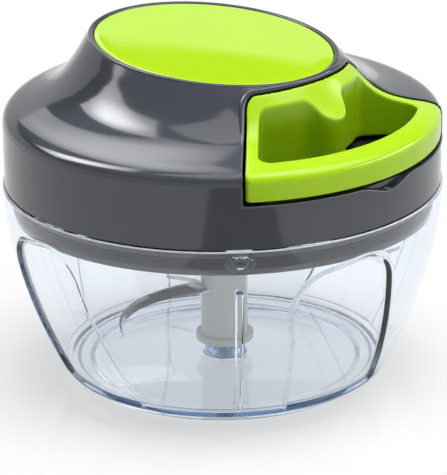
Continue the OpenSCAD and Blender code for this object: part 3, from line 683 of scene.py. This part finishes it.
# Camera: what it looks at, from where in degrees and metres, its roll in degrees and its lens in millimetres
VIEW_CENTRE = Vector((0, 0, 0.04014))
VIEW_TURN, VIEW_RISE, VIEW_FAR, VIEW_ROLL = -47, 20.5, 0.9, -0.737
LENS, SENSOR = 228.5, 36.0

WHITE = (1, 1, 1, 1)
# What reflections meet in the room: pale low walls, dark higher walls and a grey ceiling
LOW_WALL, HIGH_WALL, CEILING = (0.7, 0.7, 0.7, 1), (0.08, 0.09, 0.1, 1), (0.3, 0.33, 0.38, 1)
# Light of the room on matt surfaces
ROOM_LIGHT, ROOM_STRENGTH = (0.92, 0.96, 1, 1), 0.12

# Softboxes: where each stands from the middle of the lid in degrees and metres, its size, its radiance in the
# middle, the share of it that is left at its edge and the kinds of rays that do not see it
LID_MIDDLE = Vector((0, 0, 0.08))
SOFTBOXES = (
    ("softbox_back", 197, 50, 1.0, (0.44, 0.63), 11.5, 0.3, ("diffuse",)),
    ("softbox_side", 147, 46, 1.0, (0.34, 0.85), 3.2, 0.4, ("diffuse",)),
    ("softbox_front", 40, 62, 1.3, (0.9, 0.9), 2.8, 1.0, ()),
    ("softbox_top", 0, 89, 1.1, (0.6, 0.6), 1.4, 1.0, ("diffuse",)),
    ("overhead_key", 0, 88, 1.15, (0.6, 0.6), 10.3, 1.0, ("glossy",)),
    ("strip_front", 48, 24, 1.0, (0.9, 0.16), 8.0, 1.0, ("diffuse", "transmission")),
)


def toward(turn, rise):
    """Unit vector from the axis, at a turn from the pull and a rise in degrees."""
    a, e = math.radians(turn), math.radians(rise)
    return Vector((math.sin(a) * math.cos(e), -math.cos(a) * math.cos(e), math.sin(e)))


def studio_sheet(name, corners, material):
    """A flat sheet of the stage, which is not part of the object."""
    mesh = bpy.data.meshes.new(name)
    mesh.from_pydata(corners, [], [(0, 1, 2, 3)])
    mesh.materials.append(material)
    sheet = bpy.data.objects.new(name, mesh)
    bpy.context.collection.objects.link(sheet)
    return sheet


class CHOPPER_OT_stage(bpy.types.Operator):
    """Sets the floor, the soft studio light and the camera at the photograph's angle"""
    bl_idname = "chopper.stage"
    bl_label = "Stage"

    def execute(self, context):
        scene = context.scene
        scene.view_settings.view_transform = "Standard"
        # Light runs far along the clear wall before it leaves it
        scene.cycles.max_bounces = 24
        scene.cycles.glossy_bounces = 16
        scene.cycles.transmission_bounces = 24
        self.lay_floor()
        scene.world = self.make_room()
        for row in SOFTBOXES:
            self.hang_softbox(*row)
        self.lay_card()
        scene.camera = self.set_camera()
        return {"FINISHED"}

    def lay_floor(self):
        """White paper: plain white further out, while the object's shadow and mirror image show near it."""
        made = bpy.data.materials.new("white_studio_floor")
        tree = bare_tree(made)
        path = add(tree, "ShaderNodeLightPath")
        direct = add(tree, "ShaderNodeMath", {"operation": "MAXIMUM"},
                     {0: (path, "Is Camera Ray"), 1: (path, "Is Glossy Ray")})
        seen = add(tree, "ShaderNodeMath", {"operation": "MAXIMUM"},
                   {0: (direct, "Value"), 1: (path, "Is Transmission Ray")})
        spot = add(tree, "ShaderNodeTexCoord")
        away = add(tree, "ShaderNodeVectorMath", {"operation": "LENGTH"}, {0: (spot, "Object")})
        even = add(tree, "ShaderNodeMapRange",
                   {"From Min": 0.05, "From Max": 0.14, "To Min": 0.58, "To Max": 1.0},
                   {"Value": (away, "Value")})
        share = add(tree, "ShaderNodeMath", {"operation": "MULTIPLY"},
                    {0: (seen, "Value"), 1: (even, "Result")})
        paper = add(tree, "ShaderNodeBsdfPrincipled",
                    {"Base Color": sizes("colours").floor, "Roughness": 0.12, "Specular IOR Level": 0.5})
        glow = add(tree, "ShaderNodeEmission", {"Color": WHITE, "Strength": 1.0})
        mixed = add(tree, "ShaderNodeMixShader", None,
                    {0: (share, "Value"), 1: (paper, "BSDF"), 2: (glow, "Emission")})
        add(tree, "ShaderNodeOutputMaterial", None, {"Surface": (mixed, "Shader")})
        half, drop = 6.0, 0.2 * MM
        floor = studio_sheet("studio_floor", [(-half, -half, 0), (half, -half, 0), (half, half, 0),
                                              (-half, half, 0)], made)
        floor.location.z = -drop

    def make_room(self):
        """White for the camera and through clear plastic, a studio room for reflections and soft light."""
        world = bpy.data.worlds.new("white_studio")
        tree = bare_tree(world)
        path = add(tree, "ShaderNodeLightPath")
        where = add(tree, "ShaderNodeTexCoord")
        axis = add(tree, "ShaderNodeSeparateXYZ", None, {"Vector": (where, "Generated")})
        band = add(tree, "ShaderNodeMapRange", {"From Min": 0.380, "From Max": 0.385}, {"Value": (axis, "Z")})
        walls = add(tree, "ShaderNodeMix", {"data_type": "RGBA", 6: LOW_WALL, 7: HIGH_WALL},
                    {0: (band, "Result")})
        loft = add(tree, "ShaderNodeMapRange", {"From Min": 0.5, "From Max": 0.65}, {"Value": (axis, "Z")})
        roofed = add(tree, "ShaderNodeMix", {"data_type": "RGBA", 7: CEILING},
                     {0: (loft, "Result"), 6: (walls, 2)})
        mirrored_room = add(tree, "ShaderNodeBackground", {"Strength": 1.0}, {"Color": (roofed, 2)})
        soft_room = add(tree, "ShaderNodeBackground", {"Color": ROOM_LIGHT, "Strength": ROOM_STRENGTH})
        room = add(tree, "ShaderNodeMixShader", None, {
            0: (path, "Is Glossy Ray"), 1: (soft_room, "Background"), 2: (mirrored_room, "Background")})
        white = add(tree, "ShaderNodeBackground", {"Color": WHITE, "Strength": 1.0})
        seen = add(tree, "ShaderNodeMath", {"operation": "MAXIMUM"},
                   {0: (path, "Is Camera Ray"), 1: (path, "Is Transmission Ray")})
        mixed = add(tree, "ShaderNodeMixShader", None,
                    {0: (seen, "Value"), 1: (room, "Shader"), 2: (white, "Background")})
        add(tree, "ShaderNodeOutputWorld", None, {"Surface": (mixed, "Shader")})
        return world

    def hang_softbox(self, name, turn, rise, distance, size, radiance, edge, unseen):
        """A softbox that faces the lid, brightest in its middle."""
        lamp = bpy.data.lights.new(name, "AREA")
        lamp.shape = "RECTANGLE"
        lamp.size, lamp.size_y = size
        lamp.energy = math.pi * size[0] * size[1] * radiance
        tree = bare_tree(lamp)
        spot = add(tree, "ShaderNodeNewGeometry")
        away = add(tree, "ShaderNodeVectorMath", {"operation": "DISTANCE", 1: (0.5, 0.5, 0)},
                   {0: (spot, "Parametric")})
        fall = add(tree, "ShaderNodeMapRange", {
            "interpolation_type": "SMOOTHSTEP", "From Min": 0.1, "From Max": 0.55, "To Min": 1.0,
            "To Max": edge}, {"Value": (away, "Value")})
        glow = add(tree, "ShaderNodeEmission", {"Color": WHITE}, {"Strength": (fall, "Result")})
        add(tree, "ShaderNodeOutputLight", None, {"Surface": (glow, "Emission")})
        softbox = bpy.data.objects.new(name, lamp)
        softbox.location = LID_MIDDLE + distance * toward(turn, rise)
        softbox.rotation_euler = toward(turn, rise).to_track_quat("Z", "Y").to_euler()
        for rays in unseen:
            setattr(softbox, "visible_" + rays, False)
        bpy.context.collection.objects.link(softbox)

    def lay_card(self):
        """A dark card on the floor in front, which only reflections see, as the dark side of a studio."""
        made = bpy.data.materials.new("grey_card")
        made.use_nodes = True
        made.node_tree.nodes["Principled BSDF"].inputs["Base Color"].default_value = sizes("colours").card
        near, far, half, z, turn = 0.15, 0.6, 0.07, 1 * MM, -39
        card = studio_sheet("studio_card", [(-half, -far, z), (half, -far, z), (half, -near, z),
                                            (-half, -near, z)], made)
        card.rotation_euler.z = math.radians(turn)
        for rays in ("camera", "diffuse", "transmission", "volume_scatter", "shadow"):
            setattr(card, "visible_" + rays, False)

    def set_camera(self):
        """The camera at the photograph's angle."""
        camera = bpy.data.cameras.new("camera")
        camera.lens, camera.sensor_width = LENS, SENSOR
        eye = bpy.data.objects.new("camera", camera)
        eye.location = VIEW_CENTRE + VIEW_FAR * toward(VIEW_TURN, VIEW_RISE)
        look = (VIEW_CENTRE - eye.location).to_track_quat("-Z", "Y").to_matrix()
        eye.rotation_euler = (look @ Euler((0, 0, math.radians(VIEW_ROLL))).to_matrix()).to_euler()
        bpy.context.collection.objects.link(eye)
        return eye


# Pieces

# Faces of the bowl's profile, and the height where its inside wall starts
PLAIN, OUTSIDE, INSIDE = range(3)
INSIDE_LOW = 5.6 * MM


class CHOPPER_OT_bowl(bpy.types.Operator):
    """Moulds the clear bowl with its foot ring, arched grip panels, rim pips, inner ribs and pin boss"""
    bl_idname = "chopper.bowl"
    bl_label = "Bowl"

    def execute(self, context):
        s = sizes("bowl")
        turn = self.columns(s)
        rings = []
        for r, z, face in self.profile(s):
            radius = np.full(len(turn), r)
            if face == OUTSIDE:
                radius += self.panels(s, turn, r, z) + self.pips(s, turn, r, z)
            if face == INSIDE:
                radius -= self.ribs(s, turn, r, z)
            level = np.full(len(turn), z)
            rings.append(np.stack([radius * np.cos(turn), radius * np.sin(turn), level], 1))
        place("bowl_shell", skin(rings, caps=True), clear_san(), "bowl", ["bowl"], 50)

        # Bead along the rim's outer edge, in the near-white finish that paints the rim's highlight line
        bead, inside, steps = 0.26 * MM, 1.1, 12
        rings = []
        for a in around(steps):
            r = s.rim_r + bead * (math.cos(a) - inside)
            z = s.height + bead * (math.sin(a) - 1)
            rings.append([(r * math.cos(t), r * math.sin(t), z) for t in around(360)])
        place("bowl_rim_bead", skin(rings, loop=True), rim_highlight_san(), "bowl", (), 60)
        return {"FINISHED"}

    def profile(self, s):
        """Radius, height and face of the section, from under the foot over the rim to the pin's hole."""
        middle, hollow, foot_w, bevel, ledge = 4 * MM, 1.6 * MM, 4.2 * MM, 0.8 * MM, 0.4 * MM
        foot_round, floor_round = 0.6 * MM, 0.9 * MM
        start = s.low_z + 1 * MM
        foot = soften([(middle, hollow), (s.foot_r - foot_w - bevel, hollow), (s.foot_r - foot_w, 0),
                       (s.foot_r - bevel, 0), (s.foot_r, bevel), (s.foot_r, s.low_z - ledge),
                       (s.low_r - bevel, s.low_z - ledge), (bowl_wall(s.low_z), s.low_z),
                       (bowl_wall(start), start)], foot_round, 4)
        # Rows stand closer from where the panels' arches begin
        edge, arches = 0.6 * MM, 36 * MM
        stop = s.height - edge
        heights = np.concatenate([np.linspace(start, arches, 41)[1:], np.linspace(arches, stop, 72)[1:]])
        outer_top, inner_top = bowl_wall(stop), bowl_wall(stop) - s.wall
        rim = [(outer_top - edge * (1 - math.cos(k)), stop + edge * math.sin(k))
               for k in np.linspace(0, QUARTER, 6)[1:]]
        rim += [(inner_top + edge * (1 - math.sin(k)), stop + edge * math.cos(k))
                for k in np.linspace(0, QUARTER, 6)]
        base = bowl_wall(s.floor) - s.wall
        boss_r, boss_top, fillet = 6 * MM, s.floor + 3.39 * MM, 0.6 * MM
        pin_r, pin_low = 2.54 * MM, 2.42 * MM
        floor = soften([(bowl_wall(INSIDE_LOW) - s.wall, INSIDE_LOW), (base - 0.4 * MM, s.floor + 1.2 * MM),
                        (base - 2.6 * MM, s.floor), (boss_r + fillet, s.floor), (boss_r, s.floor + fillet),
                        (boss_r, boss_top), (pin_r, boss_top), (pin_r, pin_low)], floor_round, 5)
        rows = [(r, z, PLAIN) for r, z in foot]
        rows += [(bowl_wall(z), z, OUTSIDE) for z in heights]
        rows += [(r, z, PLAIN) for r, z in rim]
        rows += [(bowl_wall(z) - s.wall, z, INSIDE) for z in np.linspace(stop, INSIDE_LOW, 60)[1:]]
        return rows + [(r, z, PLAIN) for r, z in floor[1:]]

    def columns(self, s):
        """Angles round the bowl, three times as close where a panel's side, a pip or a rib is."""
        count, closer, side, side_reach, pip_reach = 720, 3, 18, 8.5, 4.6
        fine = np.linspace(0, TURN, 7201)
        share = np.ones(len(fine))
        spots = [(s.panel_turn + k * QUARTER + math.radians(a), side_reach)
                 for k in range(4) for a in (-side, side)]
        spots += [(s.pip_turn + k * math.pi, pip_reach) for k in range(2)]
        for spot, reach in spots:
            share[np.cos(fine - spot) > math.cos(math.radians(reach))] = closer
        gone = np.concatenate([[0], np.cumsum(share[1:])])
        return np.interp(np.linspace(0, gone[-1], count + 1)[:-1], gone, fine)

    def across(self, turn, spot, r):
        """Distance across from a spot on the wall, and far off on the other half of the bowl."""
        return np.where(np.cos(turn - spot) > 0, r * np.sin(turn - spot), FAR_OFF)

    def panels(self, s, turn, r, z):
        """Change of radius for the sunk grip panels and the low bead round each."""
        corner, below_rim, fade_from, fade_run = 11 * MM, 8 * MM, 1 * MM, 1.2 * MM
        bead_off, bead_w, step_run, step_lead = 0.55 * MM, 0.4 * MM, 0.6 * MM, 0.15
        half = (s.height - below_rim) / 2
        rise = z - half
        lean_cos, lean_sin = math.cos(s.panel_lean), math.sin(s.panel_lean)
        fade = smooth_step((z - s.low_z - fade_from) / fade_run)
        change = np.zeros(len(turn))
        for k in range(4):
            y = self.across(turn, s.panel_turn + k * QUARTER, r)
            dx = np.abs(y * lean_cos + rise * lean_sin) - (s.panel_w / 2 - corner)
            dz = rise * lean_cos - y * lean_sin - (half - corner)
            outside = np.where((dx > 0) & (dz > 0), np.hypot(dx, dz), np.maximum(dx, dz)) - corner
            bead = np.exp(-((outside - bead_off) / bead_w) ** 2)
            step = smooth_step(-outside / step_run + step_lead)
            change += fade * (s.panel_bead * bead - s.panel_depth * step)
        return change

    def pips(self, s, turn, r, z):
        """Change of radius for the dished oval pips under the rim."""
        half_w, half_h, below, edge = 4.2 * MM, 2.35 * MM, 3.4 * MM, 0.16
        dish, dish_at, dish_run = 0.7, 0.66, 0.25
        change = np.zeros(len(turn))
        for k in range(2):
            y = self.across(turn, s.pip_turn + k * math.pi, r)
            oval = np.hypot(y / half_w, (z - s.height + below) / half_h)
            button = smooth_step((1.0 - oval) / edge) - dish * smooth_step((dish_at - oval) / dish_run)
            change += (s.rim_r + s.pip_out - r) * button
        return change

    def ribs(self, s, turn, r, z):
        """How far the upright ribs stand in from the inside wall."""
        top, end_run, out, half, slope = 47.8 * MM, 1.5 * MM, 1.2 * MM, 1.1 * MM, 0.45 * MM
        high = smooth_step((z - INSIDE_LOW) / end_run) * smooth_step((top - z) / end_run)
        change = np.zeros(len(turn))
        for k in range(2):
            y = self.across(turn, s.pip_turn + k * math.pi, r)
            change += out * smooth_step((half - np.abs(y)) / slope) * high
        return change


class CHOPPER_OT_lid(bpy.types.Operator):
    """Lofts the lid shell from its round wall to the oval rim and cuts the handle's notch and finger scoop"""
    bl_idname = "chopper.lid"
    bl_label = "Lid shell"

    def execute(self, context):
        s, h = sizes("lid"), sizes("handle")
        shell = bare("lid_shell", skin(self.shell_rings(s), loop=True))
        floor = h.bottom - h.lift
        above, beyond, corner = 0.14, 30 * MM, 2 * MM
        notch = mirrored(sector_half(h.inner - h.gap, s.radius + beyond, h.gap, h.corner + h.gap, corner))
        carve(shell, prism("notch", notch, floor, above), "DIFFERENCE")
        wide, drop, deep, clear = 12 * MM, 2.6 * MM, 1.7 * MM, 5 * MM

        def scooped(w):
            # Height of the notch's floor with its finger scoop, at a place across the pull
            return floor - drop * (1 + math.cos(math.pi * w / wide)) / 2 if abs(w) < wide else floor

        bell = [(w, scooped(w)) for w in np.linspace(-wide, wide, 49)]
        bell += [(wide, floor + drop), (-wide, floor + drop)]
        face = lid_wall(floor)
        scoop = [[(w, -u, z) for w, z in bell] for u in (face - deep, face + clear)]
        carve(shell, bare("scoop", skin(scoop, caps=True)), "DIFFERENCE")
        turn_outward(shell.data)
        settle(shell, charcoal_abs(), "lid", ["top_cover"], 32)

        run, thick = self.lip_line(s, h, floor, scooped)
        lip = tube(run, 12, lambda i, a: thick[i])
        place("notch_lip", lip, charcoal_abs(), "lid", (), 60)
        return {"FINISHED"}

    def shell_rings(self, s):
        """Rings of the shell, from the wall's foot up the outside, over the rim and down the inside."""
        angles = around(360)
        top = s.edge_z + s.wall_h

        def level(r, z):
            return [(r * math.sin(a), -r * math.cos(a), z) for a in angles]

        def loft(out, up, inset=0.0, drop=0.0):
            return [lid_point(a, out, up, inset, drop) for a in angles]

        base_gap, base_step, base_h, hair, edge = 0.1 * MM, 1.5 * MM, 2.5 * MM, 0.02 * MM, 0.3 * MM
        foot = s.radius - s.shell - base_gap
        inner, plate = foot - base_step, s.edge_z + base_h
        low, wall = s.edge_z + hair, s.radius - s.reveal - edge
        rings = [level(foot, plate), level(foot, low), level(wall, low)]
        rings += [level(wall + edge * math.sin(k), low + edge * (1 - math.cos(k)))
                  for k in np.linspace(0.4, QUARTER, 4)]
        rings += [level(lid_wall(z), z) for z in np.linspace(low + 2 * edge, top - edge, 8)]
        rings += [loft(out, up) for out, up in neck_curve()]
        lip, rise, lip_in, seat_in = 0.5 * MM, 0.4 * MM, 0.1 * MM, 0.05 * MM
        rings += [loft(0, 1, lip * (1 - math.cos(k)), -rise * math.sin(k))
                  for k in np.linspace(0, QUARTER, 6)[1:]]
        rings += [loft(0, 1, s.rim_w - lip * (1 - math.sin(k)) - lip_in, -rise * math.cos(k))
                  for k in np.linspace(0, QUARTER, 5)]
        seat, seat_depth, under, thinner = s.rim_w + 2.4 * MM, 2.02 * MM, 4 * MM, 0.6
        rings += [loft(0, 1, s.rim_w - seat_in, seat_depth), loft(0, 1, seat, seat_depth),
                  loft(0, 1, seat, under)]
        rings += [loft(out, up, s.shell, s.shell * thinner) for out, up in NECK[-2:0:-1]]
        return rings + [level(inner, top - s.shell), level(inner, plate)]

    def lip_line(self, s, h, floor, scooped):
        """Line and radii of the rounded lip round the notch: full at its inner end, thinning to the rounded
        edge of the wall."""
        curve = neck_curve()
        corner, end, spacing, thin_run, lean = 1 * MM, 0.3 * MM, 0.4 * MM, 14 * MM, 0.6
        half = sector_half(h.inner - h.gap, s.radius, h.gap, h.corner + h.gap, corner)
        line = np.array(resample([p for p in half if math.hypot(*p) < s.radius - s.draft - end], spacing))
        forward = directions(line)
        share = smooth_step((np.hypot(line[:, 0], line[:, 1]) - h.inner) / thin_run)
        thick = s.lip + (s.lip_end - s.lip) * share
        line += (lean * (thick - s.lip_end))[:, None] * np.stack([-forward[:, 1], forward[:, 0]], 1)
        run = [(w, -u, lid_height(math.atan2(w, u), math.hypot(u, w), curve)) for u, w in line]
        side = math.atan2(line[-1][1], line[-1][0])
        for z in np.linspace(s.edge_z + s.wall_h, floor, 30)[1:]:
            run.append((lid_wall(z) * math.sin(side), -lid_wall(z) * math.cos(side), z))
        r = lid_wall(floor)
        for a in np.linspace(side, 0, 90)[1:]:
            run.append((r * math.sin(a), -r * math.cos(a), scooped(r * math.sin(a))))
        thick = list(thick) + [s.lip_end] * (len(run) - len(thick))
        return [(-x, y, z) for x, y, z in run[:0:-1]] + run, thick[:0:-1] + thick


class CHOPPER_OT_top_plate(bpy.types.Operator):
    """Lets the oval lime plate into the rim, with softly rounded edges"""
    bl_idname = "chopper.top_plate"
    bl_label = "Top plate"

    def execute(self, context):
        s = sizes("lid")
        gap, under, edge_low, edge, crown = 0.15 * MM, 2 * MM, 0.35 * MM, 0.55 * MM, 0.003
        fit = s.rim_w + gap
        base = s.edge_z + s.wall_h + s.neck_h
        profile = [(fit, -under), (fit, -edge_low)]
        profile += [(fit + edge * (1 - math.cos(k)), edge * math.sin(k) - edge_low)
                    for k in np.linspace(0, QUARTER, 8)[1:]]
        profile += [(fit + d * MM, edge - edge_low + d * crown * MM) for d in (4, 10, 18, 26)]
        rings = []
        for inset, rise in profile:
            ring = []
            for t in around(240):
                w, u = (s.rim_a - inset) * math.sin(t), (s.rim_b - inset) * math.cos(t)
                ring.append((w, -(u - s.rim_shift), base + rise - math.tan(s.rim_tilt) * u))
            rings.append(ring)
        form = skin(rings, caps=True)
        place("top_plate_oval", form, lime_abs(), "lid", ["top_plate"], 30)
        return {"FINISHED"}


class CHOPPER_OT_handle(bpy.types.Operator):
    """Shapes the pull handle flush with the lid, with its finger hole, rounded edges and cord hole"""
    bl_idname = "chopper.handle"
    bl_label = "Pull handle"

    def execute(self, context):
        s, lid = sizes("handle"), sizes("lid")
        above, hole_above, hole_below, outer_corner = 0.12, 0.13, 5 * MM, 1.6 * MM
        plan = mirrored(sector_half(s.inner, lid.radius - s.set_back, 0.0, s.corner, outer_corner))
        body = prism("pull_grip", plan, s.bottom, above)
        carve(body, bare("under_lid", self.under_lid(s, lid)), "INTERSECT")
        carve(body, prism("finger_hole", hole_outline(), s.bottom - hole_below, hole_above), "DIFFERENCE")
        self.round_edges(body)
        bore_r, bore_half = 1.6 * MM, 5 * MM
        pocket_r, pocket_below, pocket_above = 3.1 * MM, 2 * MM, 3.2 * MM
        bore = [[(bore_r * math.cos(k), -u, s.cord_z + bore_r * math.sin(k)) for k in around(32)]
                for u in (s.inner - bore_half, s.inner + bore_half)]
        carve(body, bare("cord_hole", skin(bore, caps=True)), "DIFFERENCE")
        pocket_y = -(s.inner + s.stop)
        pocket = [[(pocket_r * math.cos(k), pocket_y + pocket_r * math.sin(k), z) for k in around(32)]
                  for z in (s.bottom - pocket_below, s.cord_z + pocket_above)]
        carve(body, bare("stop_pocket", skin(pocket, caps=True)), "DIFFERENCE")
        turn_outward(body.data)
        settle(body, satin_lime_abs(), "handle", ["pull_handle"], 60)
        return {"FINISHED"}

    def under_lid(self, s, lid):
        """A closed block under the lid's surface, which rises toward the handle's inner end."""
        curve = neck_curve()
        first, below, spread, rows, cols = 30 * MM, 3 * MM, math.radians(52), 150, 170
        upper = []
        for r in np.linspace(first, lid.radius - lid.draft, rows):
            rise = s.rise * float(smooth_step((s.inner + s.rise_run - r) / s.rise_run))
            upper += [(r * math.sin(a), -r * math.cos(a), lid_height(a, r, curve) + rise)
                      for a in np.linspace(-spread, spread, cols)]
        base = rows * cols
        faces = []
        for i in range(rows - 1):
            for j in range(cols - 1):
                q = (i * cols + j, i * cols + j + 1, (i + 1) * cols + j + 1, (i + 1) * cols + j)
                faces += [q, tuple(base + v for v in q[::-1])]
        border = list(range(cols)) + [i * cols + cols - 1 for i in range(1, rows)]
        border += [(rows - 1) * cols + j for j in range(cols - 2, -1, -1)]
        border += [i * cols for i in range(rows - 2, 0, -1)]
        faces += [(a, b, base + b, base + a) for a, b in zip(border, border[1:] + border[:1])]
        return upper + [(x, y, s.bottom - below) for x, y, z in upper], faces

    def round_edges(self, body):
        """Wraps the handle in an even skin, relaxes it until its edges are round, and thins its faces."""
        wrap = body.modifiers.new("skin", "REMESH")
        wrap.mode = "VOXEL"
        wrap.voxel_size = 0.2 * MM
        apply_modifiers(body)
        relax = body.modifiers.new("relax", "SMOOTH")
        relax.factor = 0.5
        relax.iterations = 46
        thin = body.modifiers.new("thin", "DECIMATE")
        thin.ratio = 0.3
        apply_modifiers(body)


class CHOPPER_OT_blades(bpy.types.Operator):
    """Grinds the three sickle blades"""
    bl_idname = "chopper.blades"
    bl_label = "Blades"

    def execute(self, context):
        s = sizes("blades")
        for stage, name in enumerate(("blade_low", "blade_mid", "blade_top")):
            z = s.low_z + stage * s.step
            turn = math.radians(120 * stage + 30)
            cos, sin = math.cos(turn), math.sin(turn)
            rings = [[(x * cos - y * sin, x * sin + y * cos, z + rise) for x, y, rise in section]
                     for section in self.sections(s, z)]
            form = skin(rings, caps=True)
            place(name + "_sickle", form, ground_steel(), "blades", [name], 20)
        return {"FINISHED"}

    def sections(self, s, z):
        """Sections of one blade from its tang to its tip. The ground edge starts outside the shaft."""
        grind_from, grind_run, most, least, back_lead, tip = 8 * MM, 4 * MM, 0.5, 1e-3, 0.06, 0.99
        reach = bowl_wall(z) - sizes("bowl").wall - s.gap - s.root
        for t in np.linspace(0, tip, 70):
            a = s.sweep * t * t
            r = s.root + reach * t
            edge = np.array([r * math.cos(a), r * math.sin(a) + s.width / 2])
            r = s.root + reach * (back_lead + (1 - back_lead) * t)
            wide = s.width * (1 - t)
            back = np.array([r * math.cos(a) + math.sin(a) * wide,
                             r * math.sin(a) - math.cos(a) * wide + s.width / 2])
            full = float(smooth_step((r - grind_from) / grind_run))
            across = max(np.linalg.norm(back - edge), 1e-6)
            ground = edge + (back - edge) * min(most, s.grind * full / across + least)
            keen = s.thick + (s.edge - s.thick) * full
            yield [(*back, 0), (*ground, 0), (*edge, 0), (*edge, keen), (*ground, s.thick), (*back, s.thick)]


class CHOPPER_OT_cord(bpy.types.Operator):
    """Winds the braided cord on the drum and leads it through the eyelet to the handle"""
    bl_idname = "chopper.cord"
    bl_label = "Pull cord"

    def execute(self, context):
        s, h = sizes("reel"), sizes("handle")
        bend, past, per_turn, spacing = 4 * MM, 2.2 * MM, 96, 0.4 * MM
        lead = math.acos(s.cord_r / s.bend_u)
        half = (QUARTER - lead) / 2
        bend_u = s.bend_u + bend * math.tan(half)
        line = [(s.stop_u, 0.0, h.cord_z)]
        line += [(bend_u - bend * math.sin(b), bend - bend * math.cos(b), h.cord_z)
                 for b in np.linspace(0, 2 * half, 9)]
        for i in range(s.cord_turns * per_turn + 1):
            a = lead + TURN * i / per_turn
            z = h.cord_z - s.cord_pitch * i / per_turn
            line.append((s.cord_r * math.cos(a), s.cord_r * math.sin(a), z))
        end, low = lead + TURN * s.cord_turns, h.cord_z - s.cord_pitch * s.cord_turns
        line += [(s.cord_r * math.cos(end + b), s.cord_r * math.sin(end + b), low)
                 for b in np.linspace(0, past / s.cord_r, 4)[1:]]
        # The anchored end starts just inside the turns and reaches into the drum
        outer = s.cord_r - 0.6 * s.cord_d - 0.2 * MM
        inner = s.cord_r - 2.1 * s.cord_d
        anchor = [(r * math.cos(end) - past * math.sin(end), r * math.sin(end) + past * math.cos(end), low)
                  for r in np.linspace(outer, inner, 9)]

        # Eight strands, four laid each way
        strands, lay_length, relief = 4, 6 * MM, 0.1

        def braid(i, a):
            lay = TURN * i * spacing / lay_length
            high = max(math.sin(strands * (a + lay)), math.sin(strands * (a - lay) + QUARTER))
            return s.cord_d / 2 * (1 - relief + relief * high)

        def wound(points):
            return tube([(w, -u, z) for u, w, z in resample(points, spacing)], 20, braid)

        place("cord_anchor_end", wound(anchor), braided_nylon(), "drum", (), 80)
        cord = place("pull_cord_braid", wound(line), braided_nylon(), None, ["pull_cord"], 80)
        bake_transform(cord)
        return {"FINISHED"}


class CHOPPER_OT_spring(bpy.types.Operator):
    """Coils the flat recoil spring in the drum's well"""
    bl_idname = "chopper.spring"
    bl_label = "Recoil spring"

    def execute(self, context):
        s = sizes("reel")
        inner_end, first, last, outer_end, per_turn = 5.5 * MM, 6.4 * MM, 15.1 * MM, 16 * MM, 64
        count = s.spring_turns * per_turn
        line = [(inner_end, 0.0)]
        for i in range(count + 1):
            r, a = first + (last - first) * i / count, TURN * i / per_turn
            line.append((r * math.cos(a), r * math.sin(a)))
        pts = np.array(line + [(outer_end, 0.0)])
        forward = directions(pts)
        side = np.stack([-forward[:, 1], forward[:, 0]], 1) * s.spring_t / 2
        # Section of the strip: share of the half thickness and height, with its edges rolled round
        flat, edge, top = 0.6, 0.08 * MM, s.spring_h
        section = [(flat, 0), (1, edge), (1, top - edge), (flat, top), (-flat, top), (-1, top - edge),
                   (-1, edge), (-flat, 0)]
        rings = [[(p[0] + k * d[0], p[1] + k * d[1], s.spring_z + z) for k, z in section]
                 for p, d in zip(pts, side)]
        place("recoil_spring_strip", skin(rings, caps=True), blued_spring(), "lid",
              ["recoil_spring"], 35)
        return {"FINISHED"}


class CHOPPER_OT_works(bpy.types.Operator):
    """Gives the solids that stay their finish: lid base, gasket, frame, fasteners, drum, hub and shaft"""
    bl_idname = "chopper.works"
    bl_label = "Working parts"

    def execute(self, context):
        finishes = {
            charcoal_abs: ["lid_base"], soft_silicone: ["lid_gasket"], frame_pp: ["reel_frame"],
            turned_steel: ["frame_screws", "cord_eyelet", "axle_pin", "axle_clip", "hub_clip", "cord_stop",
                           "pawl_pins", "pawl_a", "pawl_b", "bowl_pin"],
            bearing_acetal: ["hub_bush"], reel_nylon: ["cord_drum", "drive_hub"], white_pom: ["blade_shaft"],
            bush_brass: ["shaft_bush"],
        }
        for maker, nodes in finishes.items():
            for node in nodes:
                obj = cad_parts[node]
                obj.data.materials.clear()
                obj.data.materials.append(maker())
                weld = obj.modifiers.new("weld", "WELD")
                weld.merge_threshold = 1e-6
                bevel = obj.modifiers.new("edge", "BEVEL")
                bevel.width = 0.12 * MM
                bevel.segments = 2
                bevel.limit_method = "ANGLE"
                bevel.angle_limit = math.radians(40)
                bevel.harden_normals = False
        return {"FINISHED"}


class CHOPPER_PT_panel(bpy.types.Panel):
    """Lists the chopper's pieces and sizes"""
    bl_label = "Chopper"
    bl_idname = "CHOPPER_PT_panel"
    bl_space_type = "VIEW_3D"
    bl_region_type = "UI"
    bl_category = "Chopper"

    def draw(self, context):
        for operator in OPERATORS:
            self.layout.operator(operator.bl_idname)
        for name, group in GROUPS.items():
            box = self.layout.box()
            box.label(text=name.capitalize())
            for key in group.__annotations__:
                box.prop(sizes(name), key)


OPERATORS = (CHOPPER_OT_stage, CHOPPER_OT_cord, CHOPPER_OT_bowl, CHOPPER_OT_lid, CHOPPER_OT_top_plate,
             CHOPPER_OT_handle, CHOPPER_OT_blades, CHOPPER_OT_spring, CHOPPER_OT_works)
CLASSES = tuple(GROUPS.values()) + OPERATORS + (CHOPPER_PT_panel,)


def register():
    for cls in CLASSES:
        bpy.utils.register_class(cls)
    for name, group in GROUPS.items():
        setattr(bpy.types.Scene, "chopper_" + name, bpy.props.PointerProperty(type=group))


def unregister():
    for name in GROUPS:
        delattr(bpy.types.Scene, "chopper_" + name)
    for cls in reversed(CLASSES):
        bpy.utils.unregister_class(cls)


def main():
    register()
    for operator in OPERATORS:
        family, name = operator.bl_idname.split(".")
        getattr(getattr(bpy.ops, family), name)()


if __name__ == "__main__":
    main()
